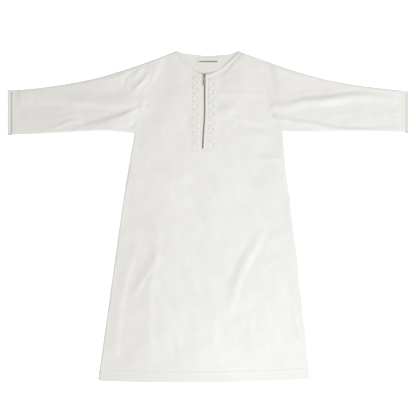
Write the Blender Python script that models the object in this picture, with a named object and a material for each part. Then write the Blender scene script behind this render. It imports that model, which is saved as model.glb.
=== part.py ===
"""A white zip-front robe with long sleeves, laid flat on its back with the sleeves spread.

The cut pieces are walls of cloth lying on each other: a back, a front with the zip's slit in it, and
two sleeves that are flattened tubes. Hem and cuffs are turned up inside. The zip is a tape each side,
a chain, a bottom stop and a slider with a pull tab that turns on the slider's loop.
All sizes are millimetres until MM makes them metres. X is across, +Y to the neck, +Z up.
"""

import math
from functools import lru_cache

import bmesh
import bpy
from mathutils import Matrix, Vector
from mathutils.geometry import intersect_point_line

MM = 0.001

# Cloth
CLOTH = 1.0  # thickness of every cloth wall
SEAM_GAP = 0.3  # between two pieces that are sewn to each other
TURN_RADIUS = (2 * CLOTH + SEAM_GAP) / 2  # outside radius where a hem folds under
SEAM_STACK = 2 * CLOTH + SEAM_GAP  # top of the two layers at a side seam
HEM_STACK = 4 * CLOTH + 3 * SEAM_GAP  # top of the four layers in a hem
CROWN = 5.2  # top of the front where it lies loosely over the back
CROWN_RISE = 26.0  # distance from a seam over which it rises to that
HEM_DEPTH = 40.0
CUFF_DEPTH = 23.5
FOLD_FADE = 16.0  # folds die out this far from a side or shoulder seam

# Zip
ZIP_X = -11.3
ZIP_DRIFT = -6.1  # the zip's lower end lies this much further left
ZIP_DRIFT_FROM_Y = 345.0
SLIT_WIDTH = 8.0
SLIT_END_Y = 220.0
PLACKET_TOP = 5.6  # top of the cloth beside the zip, which lies flat
PLACKET_FLAT = 21.0
PLACKET_FADE = 24.0
TAPE_INNER = 3.3
TAPE_OUTER = 16.5
CHAIN_WIDTH = 6.0
CHAIN_TOP = 5.4
CHAIN_THICKNESS = 2.8
CHAIN_TOP_Y = 454.9
STOP_LENGTH = 2.8

# Front neckline: a curve that deepens to the zip, and the lowest points of it
NECK_LOW_Y = 457.0
NECK_LOW_X = -11.0
NECK_POWER = 1.75

# Woven label inside the back neck
LABEL_LEFT, LABEL_RIGHT = -33.0, 35.0
LABEL_LOW, LABEL_HIGH = 485.0, 512.0

# Outline of the robe as it lies, for the left (-1) and the right (+1) side.
SHOULDER = {
    -1: [(-189.7, 500.5), (-146.0, 516.5), (-101.3, 533.5)],
    1: [(186.5, 501.3), (144.0, 516.5), (98.7, 533.5)],
}
SLEEVE_TOP = {
    -1: [(-189.7, 500.5), (-262.0, 475.5), (-365.0, 445.5), (-468.0, 425.5), (-571.0, 412.0), (-644.3, 407.2)],
    1: [(186.5, 501.3), (262.0, 475.5), (365.0, 445.5), (468.0, 425.5), (571.0, 412.0), (644.3, 404.6)],
}
SLEEVE_BOTTOM = {
    -1: [(-236.3, 266.4), (-341.0, 272.8), (-468.0, 268.0), (-644.3, 262.0)],
    1: [(244.0, 271.5), (360.0, 269.6), (535.0, 270.3), (644.3, 268.3)],
}
ARMHOLE = {
    -1: [(-189.7, 500.5), (-197.7, 440.0), (-213.0, 352.0), (-226.7, 301.7), (-236.3, 266.4)],
    1: [(186.5, 501.3), (190.5, 440.0), (209.0, 352.0), (223.5, 309.0), (244.0, 271.5)],
}
SIDE_SEAM = {
    -1: [(-236.3, 266.4), (-252.0, 181.0), (-273.0, 52.6), (-300.0, -140.0), (-352.7, -523.0)],
    1: [(244.0, 271.5), (251.4, 181.0), (266.5, 52.6), (290.0, -140.0), (331.5, -521.4)],
}
HEM = [(-352.7, -523.0), (-339.0, -527.6), (-236.0, -531.0), (-82.0, -532.6), (21.0, -533.6),
       (98.0, -531.0), (201.0, -528.0), (278.0, -524.0), (331.5, -521.4)]
BACK_NECK = [(-101.3, 533.5), (-82.0, 527.0), (-56.0, 523.0), (-5.0, 518.6), (47.0, 521.0), (72.0, 524.0),
             (98.7, 533.5)]
CUFF_X = 644.3
HEM_Y = -531.0

# Folds in the upper layer: name, points along the crest, half width, height (below 0 is a trough).
FOLDS = [
    ("left skirt, by the side seam", [(-227, -100), (-251, -176), (-272, -267), (-291, -353), (-310, -428)], 17, 3.6),
    ("left skirt, slanting", [(-160, -107), (-229, -257)], 24, 2.6),
    ("left skirt, upright", [(-170, -42), (-180, -107), (-181, -235), (-181, -460)], 26, 3.2),
    ("right skirt hollow", [(167, -37), (135, -84), (103, -171), (76, -246)], 20, -2.2),
    ("right skirt, beside the hollow", [(183, -64), (138, -160), (109, -229), (80, -305)], 20, 3.6),
    ("right skirt, short", [(199, -70), (181, -128)], 15, 1.6),
    ("middle of the skirt", [(35, 40), (30, -90)], 26, 1.7),
    ("middle, low", [(-40, -165), (-46, -225)], 28, 1.5),
    ("right skirt, low", [(221, -335), (221, -465)], 18, 1.8),
    ("right waist crease", [(170, 193), (241, 177)], 13, 2.0),
    ("left sleeve crest", [(-600, 378), (-508, 367), (-419, 360), (-312, 353), (-222, 360)], 16, 3.4),
    ("left sleeve, upper hollow", [(-520, 390), (-418, 379), (-340, 371)], 12, -1.5),
    ("left sleeve, long hollow", [(-215, 354), (-276, 331), (-318, 313), (-383, 301), (-437, 292), (-508, 281)],
     14, -2.4),
    ("left sleeve, lower crest", [(-229, 331), (-293, 300), (-383, 286)], 13, 3.0),
    ("left sleeve, short crest", [(-410, 312), (-485, 287)], 14, 2.4),
    ("left shoulder hollow", [(-198, 462), (-222, 435), (-250, 407)], 14, -2.2),
    ("left shoulder crest", [(-216, 470), (-252, 452), (-306, 432)], 15, 2.0),
    ("right sleeve, upper hollow", [(215, 356), (276, 374), (365, 384), (455, 396), (530, 393), (579, 385)],
     12, -2.0),
    ("right sleeve crest", [(210, 343), (276, 348), (365, 365), (455, 379), (508, 380), (600, 364)], 17, 3.4),
    ("right sleeve, lower hollow", [(222, 324), (294, 309), (365, 295), (455, 286), (543, 286), (612, 288)],
     14, -2.3),
    ("right shoulder crest", [(196, 492), (226, 474), (250, 466)], 13, 1.7),
    ("right shoulder hollow", [(192, 466), (208, 444), (226, 428)], 13, -1.8),
    ("left chest, inside the armhole", [(-128, 512), (-165, 470), (-179, 434), (-204, 395)], 15, 2.0),
    ("right chest, upper pull", [(35, 394), (105, 396), (178, 391)], 14, 1.5),
    ("right chest, middle pull", [(45, 334), (92, 336)], 14, 1.4),
    ("right chest hollow", [(53, 287), (110, 281), (178, 268)], 13, -1.3),
]

# Mesh: spans between the rows and columns of the walls
HALF_COLUMNS = 18  # from a side seam to the zip, on the front
BACK_COLUMNS = 28
ARMHOLE_SPANS = 14
BACK_ARMHOLE_SPANS = 7
SIDE_SPANS = 34
BACK_SIDE_SPANS = 12
SLEEVE_SPANS = 22
HEM_SPANS = 2
TURN_STEPS = 3
CURVE_STEPS = 8
ARMHOLE_SHARE = 0.26  # of the way down a side that is armhole, in the walls' own measure
TIP_ROUND = 0.5  # how far the layers at a sleeve's folded edge stand back from it

# Zip slider and pull tab
SLIDER_WIDTH = 7.2
SLIDER_LENGTH = 9.2
SLIDER_Y = 454.2
PLATE_THICKNESS = 1.2
UNDER_PLATE = 1.0
LOOP_INNER = 1.25
LOOP_THICKNESS = 0.8
LOOP_WIDTH = 1.6
HINGE_Y = 453.4
HINGE_RISE = 1.0  # the pull tab's axis above the slider's top plate
TAB_THICKNESS = 1.0
TAB_TILT = math.radians(2.6)
TAB_YAW = math.radians(-5.0)
TAB_EDGE = 0.18
# The pull tab's outline: distance from the axis, half width
TAB_OUTLINE = [(-0.75, 2.6), (0.0, 3.5), (3.0, 3.9), (7.0, 3.6), (10.5, 1.9), (12.0, 1.6), (14.5, 2.3),
               (20.0, 3.1), (27.0, 3.3), (31.0, 2.6), (32.8, 1.2)]


def fade(value, near, far):
    """1 up to near, 0 from far on, and smooth between."""
    share = min(max((value - near) / (far - near), 0.0), 1.0)
    return 1.0 - share * share * (3.0 - 2.0 * share)


def smooth_line(points, steps=CURVE_STEPS):
    """A polyline along the smooth curve that goes through a few points."""
    knots = [Vector(point) for point in points]
    if len(knots) == 2:
        return knots
    knots = [2 * knots[0] - knots[1]] + knots + [2 * knots[-1] - knots[-2]]
    line = []
    for a, b, c, d in zip(knots, knots[1:], knots[2:], knots[3:]):
        for step in range(steps):
            s = step / steps
            line.append(
                0.5 * (2 * b + (c - a) * s + (2 * a - 5 * b + 4 * c - d) * s**2 + (3 * b - a - 3 * c + d) * s**3)
            )
    line.append(knots[-2])
    return line


def along(line, share):
    """The point at this share of a polyline's length."""
    lengths = [(b - a).length for a, b in zip(line, line[1:])]
    left = min(max(share, 0.0), 1.0) * sum(lengths)
    for a, b, length in zip(line, line[1:], lengths):
        if left <= length:
            return a.lerp(b, left / length)
        left -= length
    return line[-1].copy()


def nearest(line, point):
    """Distance to a polyline, and the share of its spans at which it is nearest."""
    best, share = math.inf, 0.0
    spans = len(line) - 1
    for index, (a, b) in enumerate(zip(line, line[1:])):
        _, part = intersect_point_line(point, a, b)
        part = min(max(part, 0.0), 1.0)
        distance = (a.lerp(b, part) - point).length
        if distance < best:
            best, share = distance, (index + part) / spans
    return best, share


SIDES = (-1, 1)
LINES = {}
for _side in SIDES:
    LINES["shoulder", _side] = smooth_line(SHOULDER[_side])
    LINES["sleeve top", _side] = smooth_line(SLEEVE_TOP[_side])
    LINES["sleeve bottom", _side] = smooth_line(SLEEVE_BOTTOM[_side])
    LINES["armhole", _side] = smooth_line(ARMHOLE[_side])
    LINES["side seam", _side] = smooth_line(SIDE_SEAM[_side])
HEM_LINE = smooth_line(HEM)
BACK_NECK_LINE = smooth_line(BACK_NECK)
FOLD_LINES = [(smooth_line(points, 4), half_width, height) for _, points, half_width, height in FOLDS]
RIM_LINES = [line for (name, _), line in LINES.items() if name != "armhole"]


def zip_x(y):
    """The zip runs straight down and drifts to the left at its lower end."""
    return ZIP_X + ZIP_DRIFT * (1.0 - fade(ZIP_DRIFT_FROM_Y - y, 0.0, ZIP_DRIFT_FROM_Y - SLIT_END_Y))


@lru_cache(maxsize=None)
def top_height(x, y):
    """Height of the robe's upper face: low at the seams, crowned between them, with its folds."""
    point = Vector((x, y))
    from_hem = y - HEM_Y
    from_cuff = CUFF_X - abs(x)
    lift = max(fade(from_hem, HEM_DEPTH + 6.0, HEM_DEPTH + 75.0), fade(from_cuff, CUFF_DEPTH + 5.0, CUFF_DEPTH + 70.0))
    rim = SEAM_STACK + (HEM_STACK - SEAM_STACK) * lift
    from_seam = min(nearest(line, point)[0] for line in RIM_LINES)
    rise = math.sin(min(from_seam / CROWN_RISE, 1.0) * math.pi / 2)
    height = rim + (CROWN - rim) * rise
    inside = 1.0 - fade(from_seam, 0.0, FOLD_FADE)
    for line, half_width, fold_height in FOLD_LINES:
        distance, share = nearest(line, point)
        if distance < half_width:
            bump = math.cos(distance / half_width * math.pi / 2) ** 2
            height += fold_height * bump * math.sin(math.pi * min(max(share, 0.06), 0.94)) ** 0.5 * inside
    beside_zip = fade(abs(x - zip_x(y)), PLACKET_FLAT, PLACKET_FLAT + PLACKET_FADE)
    beside_zip *= fade(SLIT_END_Y - y, 8.0, 40.0)
    height += (PLACKET_TOP - height) * beside_zip
    return max(height, rim)


def patch(left, right, top, bottom, u, v):
    """A point of the sheet spanned between four edges, u across and v down."""
    ruled = left(v).lerp(right(v), u)
    top_bow = top(u) - left(0.0).lerp(right(0.0), u)
    bottom_bow = bottom(u) - left(1.0).lerp(right(1.0), u)
    return ruled + top_bow * (1.0 - v) ** 2 + bottom_bow * v**2


def body_edge(side):
    """A body panel's outer edge, down the armhole and then the side seam to the hem's fold."""
    raised = Vector((0.0, TURN_RADIUS))

    def edge(v):
        if v <= ARMHOLE_SHARE:
            return along(LINES["armhole", side], v / ARMHOLE_SHARE)
        share = (v - ARMHOLE_SHARE) / (1.0 - ARMHOLE_SHARE)
        return along(LINES["side seam", side], share) + raised * share

    return edge


def hem_point(x):
    """The middle of the hem's fold at this X."""
    for a, b in zip(HEM_LINE, HEM_LINE[1:]):
        if a.x <= x <= b.x:
            return Vector((x, a.lerp(b, (x - a.x) / (b.x - a.x)).y + TURN_RADIUS))
    return Vector((x, HEM_LINE[-1].y + TURN_RADIUS))


def slit_edge(side):
    """The edge of the zip's slit on one side, and the line that carries it on down to the hem."""
    half = side * SLIT_WIDTH / 2
    top = neckline_y(zip_x(NECK_LOW_Y) + half)
    bottom = hem_point(zip_x(HEM_Y) + half).y

    def edge(v):
        if v <= ARMHOLE_SHARE:
            y = top + (SLIT_END_Y - top) * v / ARMHOLE_SHARE
        else:
            y = SLIT_END_Y + (bottom - SLIT_END_Y) * (v - ARMHOLE_SHARE) / (1.0 - ARMHOLE_SHARE)
        return Vector((zip_x(y) + half, y))

    return edge


def neckline_y(x):
    """The front neckline, a rounded V whose lowest point is at the zip."""
    side = -1 if x < NECK_LOW_X else 1
    neck_x, neck_y = SHOULDER[side][-1]
    share = abs(x - NECK_LOW_X) / abs(neck_x - NECK_LOW_X)
    return NECK_LOW_Y + (neck_y - NECK_LOW_Y) * share**NECK_POWER


def front_top(side):
    """The front's upper edge on one side, along the shoulder and then down the neckline to the slit."""
    slit_x = zip_x(NECK_LOW_Y) + side * SLIT_WIDTH / 2

    def edge(u):
        if u <= 0.5:
            return along(LINES["shoulder", side], 2 * u)
        neck_x = SHOULDER[side][-1][0]
        x = neck_x + (slit_x - neck_x) * (2 * u - 1)
        return Vector((x, neckline_y(x)))

    return edge


def front_plan(column, v):
    """Where a point of the front lies on the ground plan. Column -1 to 0 is left of the slit, 1 to 2 right."""
    if column <= 0.0:
        side, u = -1, column + 1.0
    elif column >= 1.0:
        side, u = 1, 2.0 - column
    else:
        return slit_edge(-1)(v).lerp(slit_edge(1)(v), column)
    outer, inner = body_edge(side), slit_edge(side)
    start_x, end_x = outer(1.0).x, inner(1.0).x
    hem = lambda share: hem_point(start_x + (end_x - start_x) * share)
    return patch(outer, inner, front_top(side), hem, u, v)


def back_plan(u, v):
    """Where a point of the back lies on the ground plan."""
    left, right = body_edge(-1), body_edge(1)

    def top(share):
        if share <= 0.25:
            return along(LINES["shoulder", -1], share / 0.25)
        if share >= 0.75:
            return along(LINES["shoulder", 1], (1.0 - share) / 0.25)
        return along(BACK_NECK_LINE, (share - 0.25) / 0.5)

    start_x, end_x = left(1.0).x, right(1.0).x
    hem = lambda share: hem_point(start_x + (end_x - start_x) * share)
    return patch(left, right, top, hem, u, v)


def sleeve_plan(side, t, s):
    """Where a point of a sleeve lies: s from the armhole to the cuff, t from its top edge to its bottom."""
    outward = Vector((side, 0.0))
    cuff = outward * -TURN_RADIUS

    def top(share):
        return along(LINES["sleeve top", side], share) + outward * SEAM_GAP * (1 - share) + cuff * share

    def bottom(share):
        return along(LINES["sleeve bottom", side], share) + outward * SEAM_GAP * (1 - share) + cuff * share

    def armhole(share):
        return along(LINES["armhole", side], share) + outward * SEAM_GAP

    def cuff_line(share):
        return top(1.0).lerp(bottom(1.0), share)

    return patch(top, bottom, armhole, cuff_line, t, s)


def turned_rows(plain, last_plain):
    """Rows of a panel with a turn-up: how far down it is, and the angle turned round the fold."""
    rows = [(v, 0.0) for v in plain]
    rows += [(1.0, math.pi * step / TURN_STEPS) for step in range(TURN_STEPS + 1)]
    rows += [(1.0 - (1.0 - last_plain) * (step + 1) / HEM_SPANS, math.pi) for step in range(HEM_SPANS)]
    return rows


def spread(start, end, spans):
    """Evenly spaced values, the end left out."""
    return [start + (end - start) * index / spans for index in range(spans)]


def inset(depth, turn):
    """How far inside the garment's outer face this face of the cloth lies, as it goes round a fold."""
    return TURN_RADIUS - (TURN_RADIUS - depth) * math.cos(turn)


def wall(name, columns, rows, place, material, thickness=CLOTH, ring=False, missing=None):
    """A wall of cloth: a grid placed by place(column, row, depth), given its thickness inwards.

    ring joins the last column to the first. missing(column, row) leaves a face out."""
    mesh = bmesh.new()
    across = columns + 1 if ring else columns
    bmesh.ops.create_grid(mesh, x_segments=across - 1, y_segments=rows - 1, size=0.5)
    column_layer = mesh.verts.layers.int.new("column")
    row_layer = mesh.verts.layers.int.new("row")
    for vert in mesh.verts:
        vert[column_layer] = round((vert.co.x + 0.5) * (across - 1)) % columns
        vert[row_layer] = round((vert.co.y + 0.5) * (rows - 1))
    if missing:
        gone = [
            face
            for face in mesh.faces
            if missing(min(v[column_layer] for v in face.verts), min(v[row_layer] for v in face.verts))
        ]
        bmesh.ops.delete(mesh, geom=gone, context="FACES")
    for vert in mesh.verts:
        vert.co = place(vert[column_layer], vert[row_layer], 0.0)
    if ring:
        bmesh.ops.remove_doubles(mesh, verts=mesh.verts[:], dist=1e-4)
    grown = bmesh.ops.extrude_face_region(mesh, geom=mesh.faces[:], use_keep_orig=True)
    for vert in grown["geom"]:
        if isinstance(vert, bmesh.types.BMVert):
            vert.co = place(vert[column_layer], vert[row_layer], thickness)
    bmesh.ops.scale(mesh, vec=(MM, MM, MM), verts=mesh.verts[:])
    bmesh.ops.recalc_face_normals(mesh, faces=mesh.faces[:])
    return finished(name, mesh, material)


def finished(name, mesh, material):
    """An object of this mesh, shaded smooth except at sharp edges."""
    data = bpy.data.meshes.new(name)
    mesh.to_mesh(data)
    mesh.free()
    data.materials.append(material)
    data.shade_smooth()
    data.set_sharp_from_angle(angle=math.radians(40))
    thing = bpy.data.objects.new(name, data)
    bpy.context.collection.objects.link(thing)
    return thing


def material(name, colour, roughness, metallic=0.0):
    made = bpy.data.materials.new(name)
    made.use_nodes = True
    shader = made.node_tree.nodes["Principled BSDF"]
    shader.inputs["Base Color"].default_value = (*colour, 1.0)
    shader.inputs["Roughness"].default_value = roughness
    shader.inputs["Metallic"].default_value = metallic
    return made


def front(cloth):
    """The front, with the zip's slit down from the neckline and its hem turned up."""
    columns = [-1.0 + share for share in spread(0.0, 1.0, HALF_COLUMNS)]
    columns += [0.0, 1.0]
    columns += [1.0 + (index + 1) / HALF_COLUMNS for index in range(HALF_COLUMNS)]
    turn_up = 1.0 - (1.0 - ARMHOLE_SHARE) * HEM_DEPTH / (SLIT_END_Y - HEM_Y)
    plain = spread(0.0, ARMHOLE_SHARE, ARMHOLE_SPANS) + spread(ARMHOLE_SHARE, turn_up, SIDE_SPANS)
    plain += spread(turn_up, 1.0, HEM_SPANS)
    rows = turned_rows(plain, turn_up)

    def place(column, row, depth):
        v, turn = rows[row]
        plan = front_plan(columns[column], v)
        y = plan.y - (TURN_RADIUS - depth) * math.sin(turn)
        return Vector((plan.x, y, top_height(plan.x, plan.y) - inset(depth, turn)))

    def in_slit(column, row):
        return column == HALF_COLUMNS and row < ARMHOLE_SPANS

    return wall("front_body", len(columns), len(rows), place, cloth, missing=in_slit)


def back(cloth):
    """The back, flat on the ground, with its hem turned up."""
    columns = [index / BACK_COLUMNS for index in range(BACK_COLUMNS + 1)]
    turn_up = 1.0 - (1.0 - ARMHOLE_SHARE) * HEM_DEPTH / (SLIT_END_Y - HEM_Y)
    plain = spread(0.0, ARMHOLE_SHARE, BACK_ARMHOLE_SPANS) + spread(ARMHOLE_SHARE, turn_up, BACK_SIDE_SPANS)
    plain += spread(turn_up, 1.0, HEM_SPANS)
    rows = turned_rows(plain, turn_up)

    def place(column, row, depth):
        v, turn = rows[row]
        plan = back_plan(columns[column], v)
        return Vector((plan.x, plan.y - (TURN_RADIUS - depth) * math.sin(turn), inset(depth, turn)))

    return wall("back_body", len(columns), len(rows), place, cloth)


def sleeve(side, name, cloth):
    """A sleeve, one piece of cloth closed by its underarm seam and lying flat, with its cuff turned up."""
    ring = [("edge", 0.0)] + [("over", share) for share in spread(0.0, 1.0, ARMHOLE_SPANS)] + [("over", 1.0)]
    ring += [("edge", 1.0)] + [("under", 1.0 - share) for share in spread(0.0, 1.0, BACK_ARMHOLE_SPANS)]
    ring += [("under", 0.0)]
    turn_up = 1.0 - CUFF_DEPTH / (CUFF_X - abs(ARMHOLE[side][-1][0]))
    plain = spread(0.0, turn_up, SLEEVE_SPANS) + spread(turn_up, 1.0, HEM_SPANS)
    rows = turned_rows(plain, turn_up)

    def place(column, row, depth):
        layer, t = ring[column]
        s, turn = rows[row]
        inner = inset(depth, turn)
        plan = sleeve_plan(side, t, s)
        x = plan.x + side * (TURN_RADIUS - depth) * math.sin(turn)
        top = top_height(plan.x, plan.y)
        inward = {0.0: -1.0, 1.0: 1.0}.get(t, 0.0)
        if layer == "edge":
            return Vector((x, plan.y + inward * inner, top / 2))
        z = top - inner if layer == "over" else inner
        return Vector((x, plan.y + inward * (inner + TIP_ROUND), z))

    return wall(name, len(ring), len(rows), place, cloth, ring=True)


def strip(name, left, right, low, high, top, thickness, material, columns=2, rows=2, follow_zip=True):
    """A flat strip between two X and two Y, which follows the zip's line."""

    def place(column, row, depth):
        y = low + (high - low) * row / (rows - 1)
        x = left + (right - left) * column / (columns - 1)
        return Vector((x + (zip_x(y) if follow_zip else 0.0), y, top - depth))

    return wall(name, columns, rows, place, material, thickness=thickness)


def block(size, centre, bevel=0.0):
    """A box with rounded upright edges, in millimetres, as a mesh."""
    mesh = bmesh.new()
    bmesh.ops.create_cube(mesh, size=1.0)
    bmesh.ops.scale(mesh, vec=size, verts=mesh.verts[:])
    if bevel:
        upright = [edge for edge in mesh.edges if abs(edge.verts[0].co.z - edge.verts[1].co.z) > size[2] / 2]
        bmesh.ops.bevel(
            mesh, geom=upright, offset=bevel, segments=3, affect="EDGES", profile=0.5, clamp_overlap=True
        )
    bmesh.ops.translate(mesh, vec=centre, verts=mesh.verts[:])
    return mesh


def loop_mesh(centre):
    """The slider's loop that holds the pull tab: a bar spun half round, with its feet in the top plate."""
    mesh = bmesh.new()
    bmesh.ops.create_grid(mesh, x_segments=1, y_segments=1, size=0.5)
    bmesh.ops.scale(mesh, vec=(LOOP_WIDTH, LOOP_THICKNESS, 1.0), verts=mesh.verts[:])
    start = Vector((0.0, LOOP_INNER + LOOP_THICKNESS / 2, 0.0))
    bmesh.ops.translate(mesh, vec=start, verts=mesh.verts[:])
    spun = bmesh.ops.spin(
        mesh, geom=mesh.faces[:], cent=(0, 0, 0), axis=(1, 0, 0), angle=math.pi, steps=8, use_duplicate=False
    )
    last = [part for part in spun["geom_last"] if isinstance(part, bmesh.types.BMFace)]
    first = [face for face in mesh.faces if face not in last and abs(face.calc_center_median().z) < 1e-4]
    for foot in (first, last):
        grown = bmesh.ops.extrude_face_region(mesh, geom=foot, use_keep_orig=True)
        moved = [part for part in grown["geom"] if isinstance(part, bmesh.types.BMVert)]
        bmesh.ops.translate(mesh, vec=(0.0, 0.0, -HINGE_RISE - 0.3), verts=moved)
        bmesh.ops.delete(mesh, geom=foot, context="FACES_ONLY")
    bmesh.ops.translate(mesh, vec=centre, verts=mesh.verts[:])
    return mesh


def merged(name, meshes, material):
    """Several overlapping solids as one body."""
    things = []
    for index, mesh in enumerate(meshes):
        bmesh.ops.scale(mesh, vec=(MM, MM, MM), verts=mesh.verts[:])
        bmesh.ops.recalc_face_normals(mesh, faces=mesh.faces[:])
        things.append(finished(name if index == 0 else f"{name}_part_{index}", mesh, material))
    for added in things[1:]:
        added.hide_render = True
        added.display_type = "WIRE"
        join = things[0].modifiers.new(added.name, "BOOLEAN")
        join.operation = "UNION"
        join.object = added
    return things[0]


def slider(metal):
    """The zip's slider: two plates held apart by a post at its nose, with the loop for the pull tab."""
    x = zip_x(SLIDER_Y)
    gap = (PLATE_THICKNESS, UNDER_PLATE)
    plate_low = CHAIN_TOP + SEAM_GAP
    under_low = CLOTH + SEAM_GAP
    nose = SLIDER_Y + SLIDER_LENGTH / 2
    post_length = nose - 0.6 - CHAIN_TOP_Y - SEAM_GAP
    meshes = [
        block((SLIDER_WIDTH, SLIDER_LENGTH, gap[0]), (x, SLIDER_Y, plate_low + gap[0] / 2), 1.6),
        block((SLIDER_WIDTH, SLIDER_LENGTH, gap[1]), (x, SLIDER_Y, under_low + gap[1] / 2), 1.6),
        block(
            (2.0, post_length, plate_low - under_low),
            (x, nose - 0.6 - post_length / 2, (plate_low + under_low + gap[1]) / 2),
        ),
        loop_mesh((x, HINGE_Y, plate_low + gap[0] + HINGE_RISE)),
    ]
    return merged("zip_slider", meshes, metal)


def pull_tab(metal):
    """The pull tab: a flat drop with an eye round the slider's loop, on its axis."""
    curve = bpy.data.curves.new("zip_pull_tab", "CURVE")
    curve.dimensions = "2D"
    curve.fill_mode = "BOTH"
    curve.extrude = (TAB_THICKNESS / 2 - TAB_EDGE) * MM
    curve.bevel_depth = TAB_EDGE * MM
    curve.bevel_resolution = 1
    curve.offset = -TAB_EDGE * MM
    right = smooth_line(TAB_OUTLINE, 3)
    outline = [(p.y, -p.x) for p in right] + [(-p.y, -p.x) for p in reversed(right)]
    eye = [(1.35 * math.copysign(1, c), -(0.75 + (0 if s > 0 else 2.55))) for c, s in
           ((1, 1), (-1, 1), (-1, -1), (1, -1))]
    slot = [(0.95 * math.cos(a), -(24.5 + 0.95 * math.sin(a) + (3.6 if math.sin(a) > 0 else -3.6)))
            for a in (math.pi * (index + 0.5) / 6 for index in range(12))]
    for points in (outline, eye, slot):
        spline = curve.splines.new("POLY")
        spline.use_cyclic_u = True
        spline.points.add(len(points) - 1)
        for control, (x, y) in zip(spline.points, points):
            control.co = (x * MM, y * MM, 0.0, 1.0)
    curve.materials.append(metal)
    tab = bpy.data.objects.new("zip_pull_tab", curve)
    bpy.context.collection.objects.link(tab)
    hinge_z = CHAIN_TOP + SEAM_GAP + PLATE_THICKNESS + HINGE_RISE
    place = Matrix.Translation(Vector((zip_x(HINGE_Y), HINGE_Y, hinge_z)) * MM)
    tab.matrix_world = place @ Matrix.Rotation(TAB_YAW, 4, "Z") @ Matrix.Rotation(TAB_TILT, 4, "X")
    return tab


def build():
    for thing in list(bpy.data.objects):
        bpy.data.objects.remove(thing)
    cloth = material("satin cloth", (0.80, 0.79, 0.755), 0.45)
    tape = material("zip tape", (0.76, 0.75, 0.72), 0.8)
    metal = material("antique nickel", (0.46, 0.42, 0.36), 0.35, 1.0)
    woven = material("woven label", (0.86, 0.855, 0.84), 0.6)
    front(cloth)
    back(cloth)
    sleeve(-1, "sleeve_left", cloth)
    sleeve(1, "sleeve_right", cloth)
    tape_top = PLACKET_TOP - CLOTH - SEAM_GAP
    tape_low = SLIT_END_Y - 6.0
    strip("zip_tape_left", -TAPE_OUTER, -TAPE_INNER, tape_low, NECK_LOW_Y, tape_top, CLOTH, tape, 3, 16)
    strip("zip_tape_right", TAPE_INNER, TAPE_OUTER, tape_low, NECK_LOW_Y, tape_top, CLOTH, tape, 3, 16)
    stop_low = SLIT_END_Y + 2 * SEAM_GAP
    chain_low = stop_low + STOP_LENGTH + SEAM_GAP
    half = CHAIN_WIDTH / 2
    strip("zip_chain", -half, half, chain_low, CHAIN_TOP_Y, CHAIN_TOP, CHAIN_THICKNESS, metal, 2, 16)
    strip("zip_stop", -half, half, stop_low, stop_low + STOP_LENGTH, CHAIN_TOP, CHAIN_THICKNESS, metal)
    strip("neck_label", LABEL_LEFT, LABEL_RIGHT, LABEL_LOW, LABEL_HIGH, 2 * CLOTH + SEAM_GAP, CLOTH, woven,
          follow_zip=False)
    slider(metal)
    pull_tab(metal)


build()
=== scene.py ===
"""A white satin robe with a zip placket, laid flat on its back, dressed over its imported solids.

X is across, +Y to the neck and +Z up, as in the solids. Tables and sizes are in millimetres.
"""

import math

import bmesh
import bpy
import numpy as np
from mathutils import Matrix, Vector


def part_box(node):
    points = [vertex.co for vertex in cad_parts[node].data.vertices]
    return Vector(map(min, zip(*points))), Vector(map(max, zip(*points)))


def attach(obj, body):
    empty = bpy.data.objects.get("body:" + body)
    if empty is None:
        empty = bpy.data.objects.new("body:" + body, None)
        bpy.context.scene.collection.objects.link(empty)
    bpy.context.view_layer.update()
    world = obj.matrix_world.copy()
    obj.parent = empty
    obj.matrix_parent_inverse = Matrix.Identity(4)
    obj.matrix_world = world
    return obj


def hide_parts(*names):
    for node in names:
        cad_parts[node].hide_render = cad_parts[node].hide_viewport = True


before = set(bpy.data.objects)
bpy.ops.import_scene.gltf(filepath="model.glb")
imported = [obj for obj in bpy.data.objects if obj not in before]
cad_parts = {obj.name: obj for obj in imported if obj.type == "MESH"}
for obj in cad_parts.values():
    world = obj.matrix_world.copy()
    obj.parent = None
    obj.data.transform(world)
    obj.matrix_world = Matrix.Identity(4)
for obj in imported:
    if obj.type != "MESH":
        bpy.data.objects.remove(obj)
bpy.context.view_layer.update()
MM = 0.001

# The white ground that the robe lies on, an even white light all round it, and one broad soft lamp low at
# the lower right, which lets the folds show. The camera looks straight down with a long lens.
GROUND_DROP = 0.6
GROUND_SIZE = 4000.0
GROUND_WHITE = 0.9
GROUND_ROUGHNESS = 0.9
GROUND_GLOW = 0.75
VIEW_WIDTH = 1337.4
VIEW_CENTRE_Y = 28.45
VIEW_END = 50000.0
LENS = 85.0
SENSOR = 36.0
LAMPS = [  # name, place and aim in metres, size, watts
    ("far lamp", (3.60, -1.91, 1.90), (0.0, 0.0, 0.0), 1.5, 152.0),
    ("hem lamp", (0.12, -0.50, 0.35), (0.12, -0.50, 0.0), 0.3, 0.16),
    ("chest lamp", (0.10, 0.10, 0.60), (0.10, 0.10, 0.0), 0.4, 0.29),
]
LAMP_COLOUR = (0.90, 0.97, 1.0)
SKY = 0.71
SKY_COLOUR = (1.0, 0.97, 0.945)
WHITE = (1.0, 1.0, 1.0, 1.0)


def new_material(name, colour, roughness, metallic=0.0):
    """A material with one plain finish, and its shader for what is added."""
    made = bpy.data.materials.new(name)
    made.use_nodes = True
    shader = made.node_tree.nodes["Principled BSDF"]
    shader.inputs["Base Color"].default_value = (*colour, 1.0)
    shader.inputs["Roughness"].default_value = roughness
    shader.inputs["Metallic"].default_value = metallic
    return made, shader


def wire(source, output, target, entry):
    """A link from one node's output to another's input."""
    source.id_data.links.new(source.outputs[output], target.inputs[entry])


def mesh_data(name, mesh):
    """What has been built in a mesh, as data for an object."""
    data = bpy.data.meshes.new(name)
    mesh.to_mesh(data)
    mesh.free()
    return data


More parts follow.
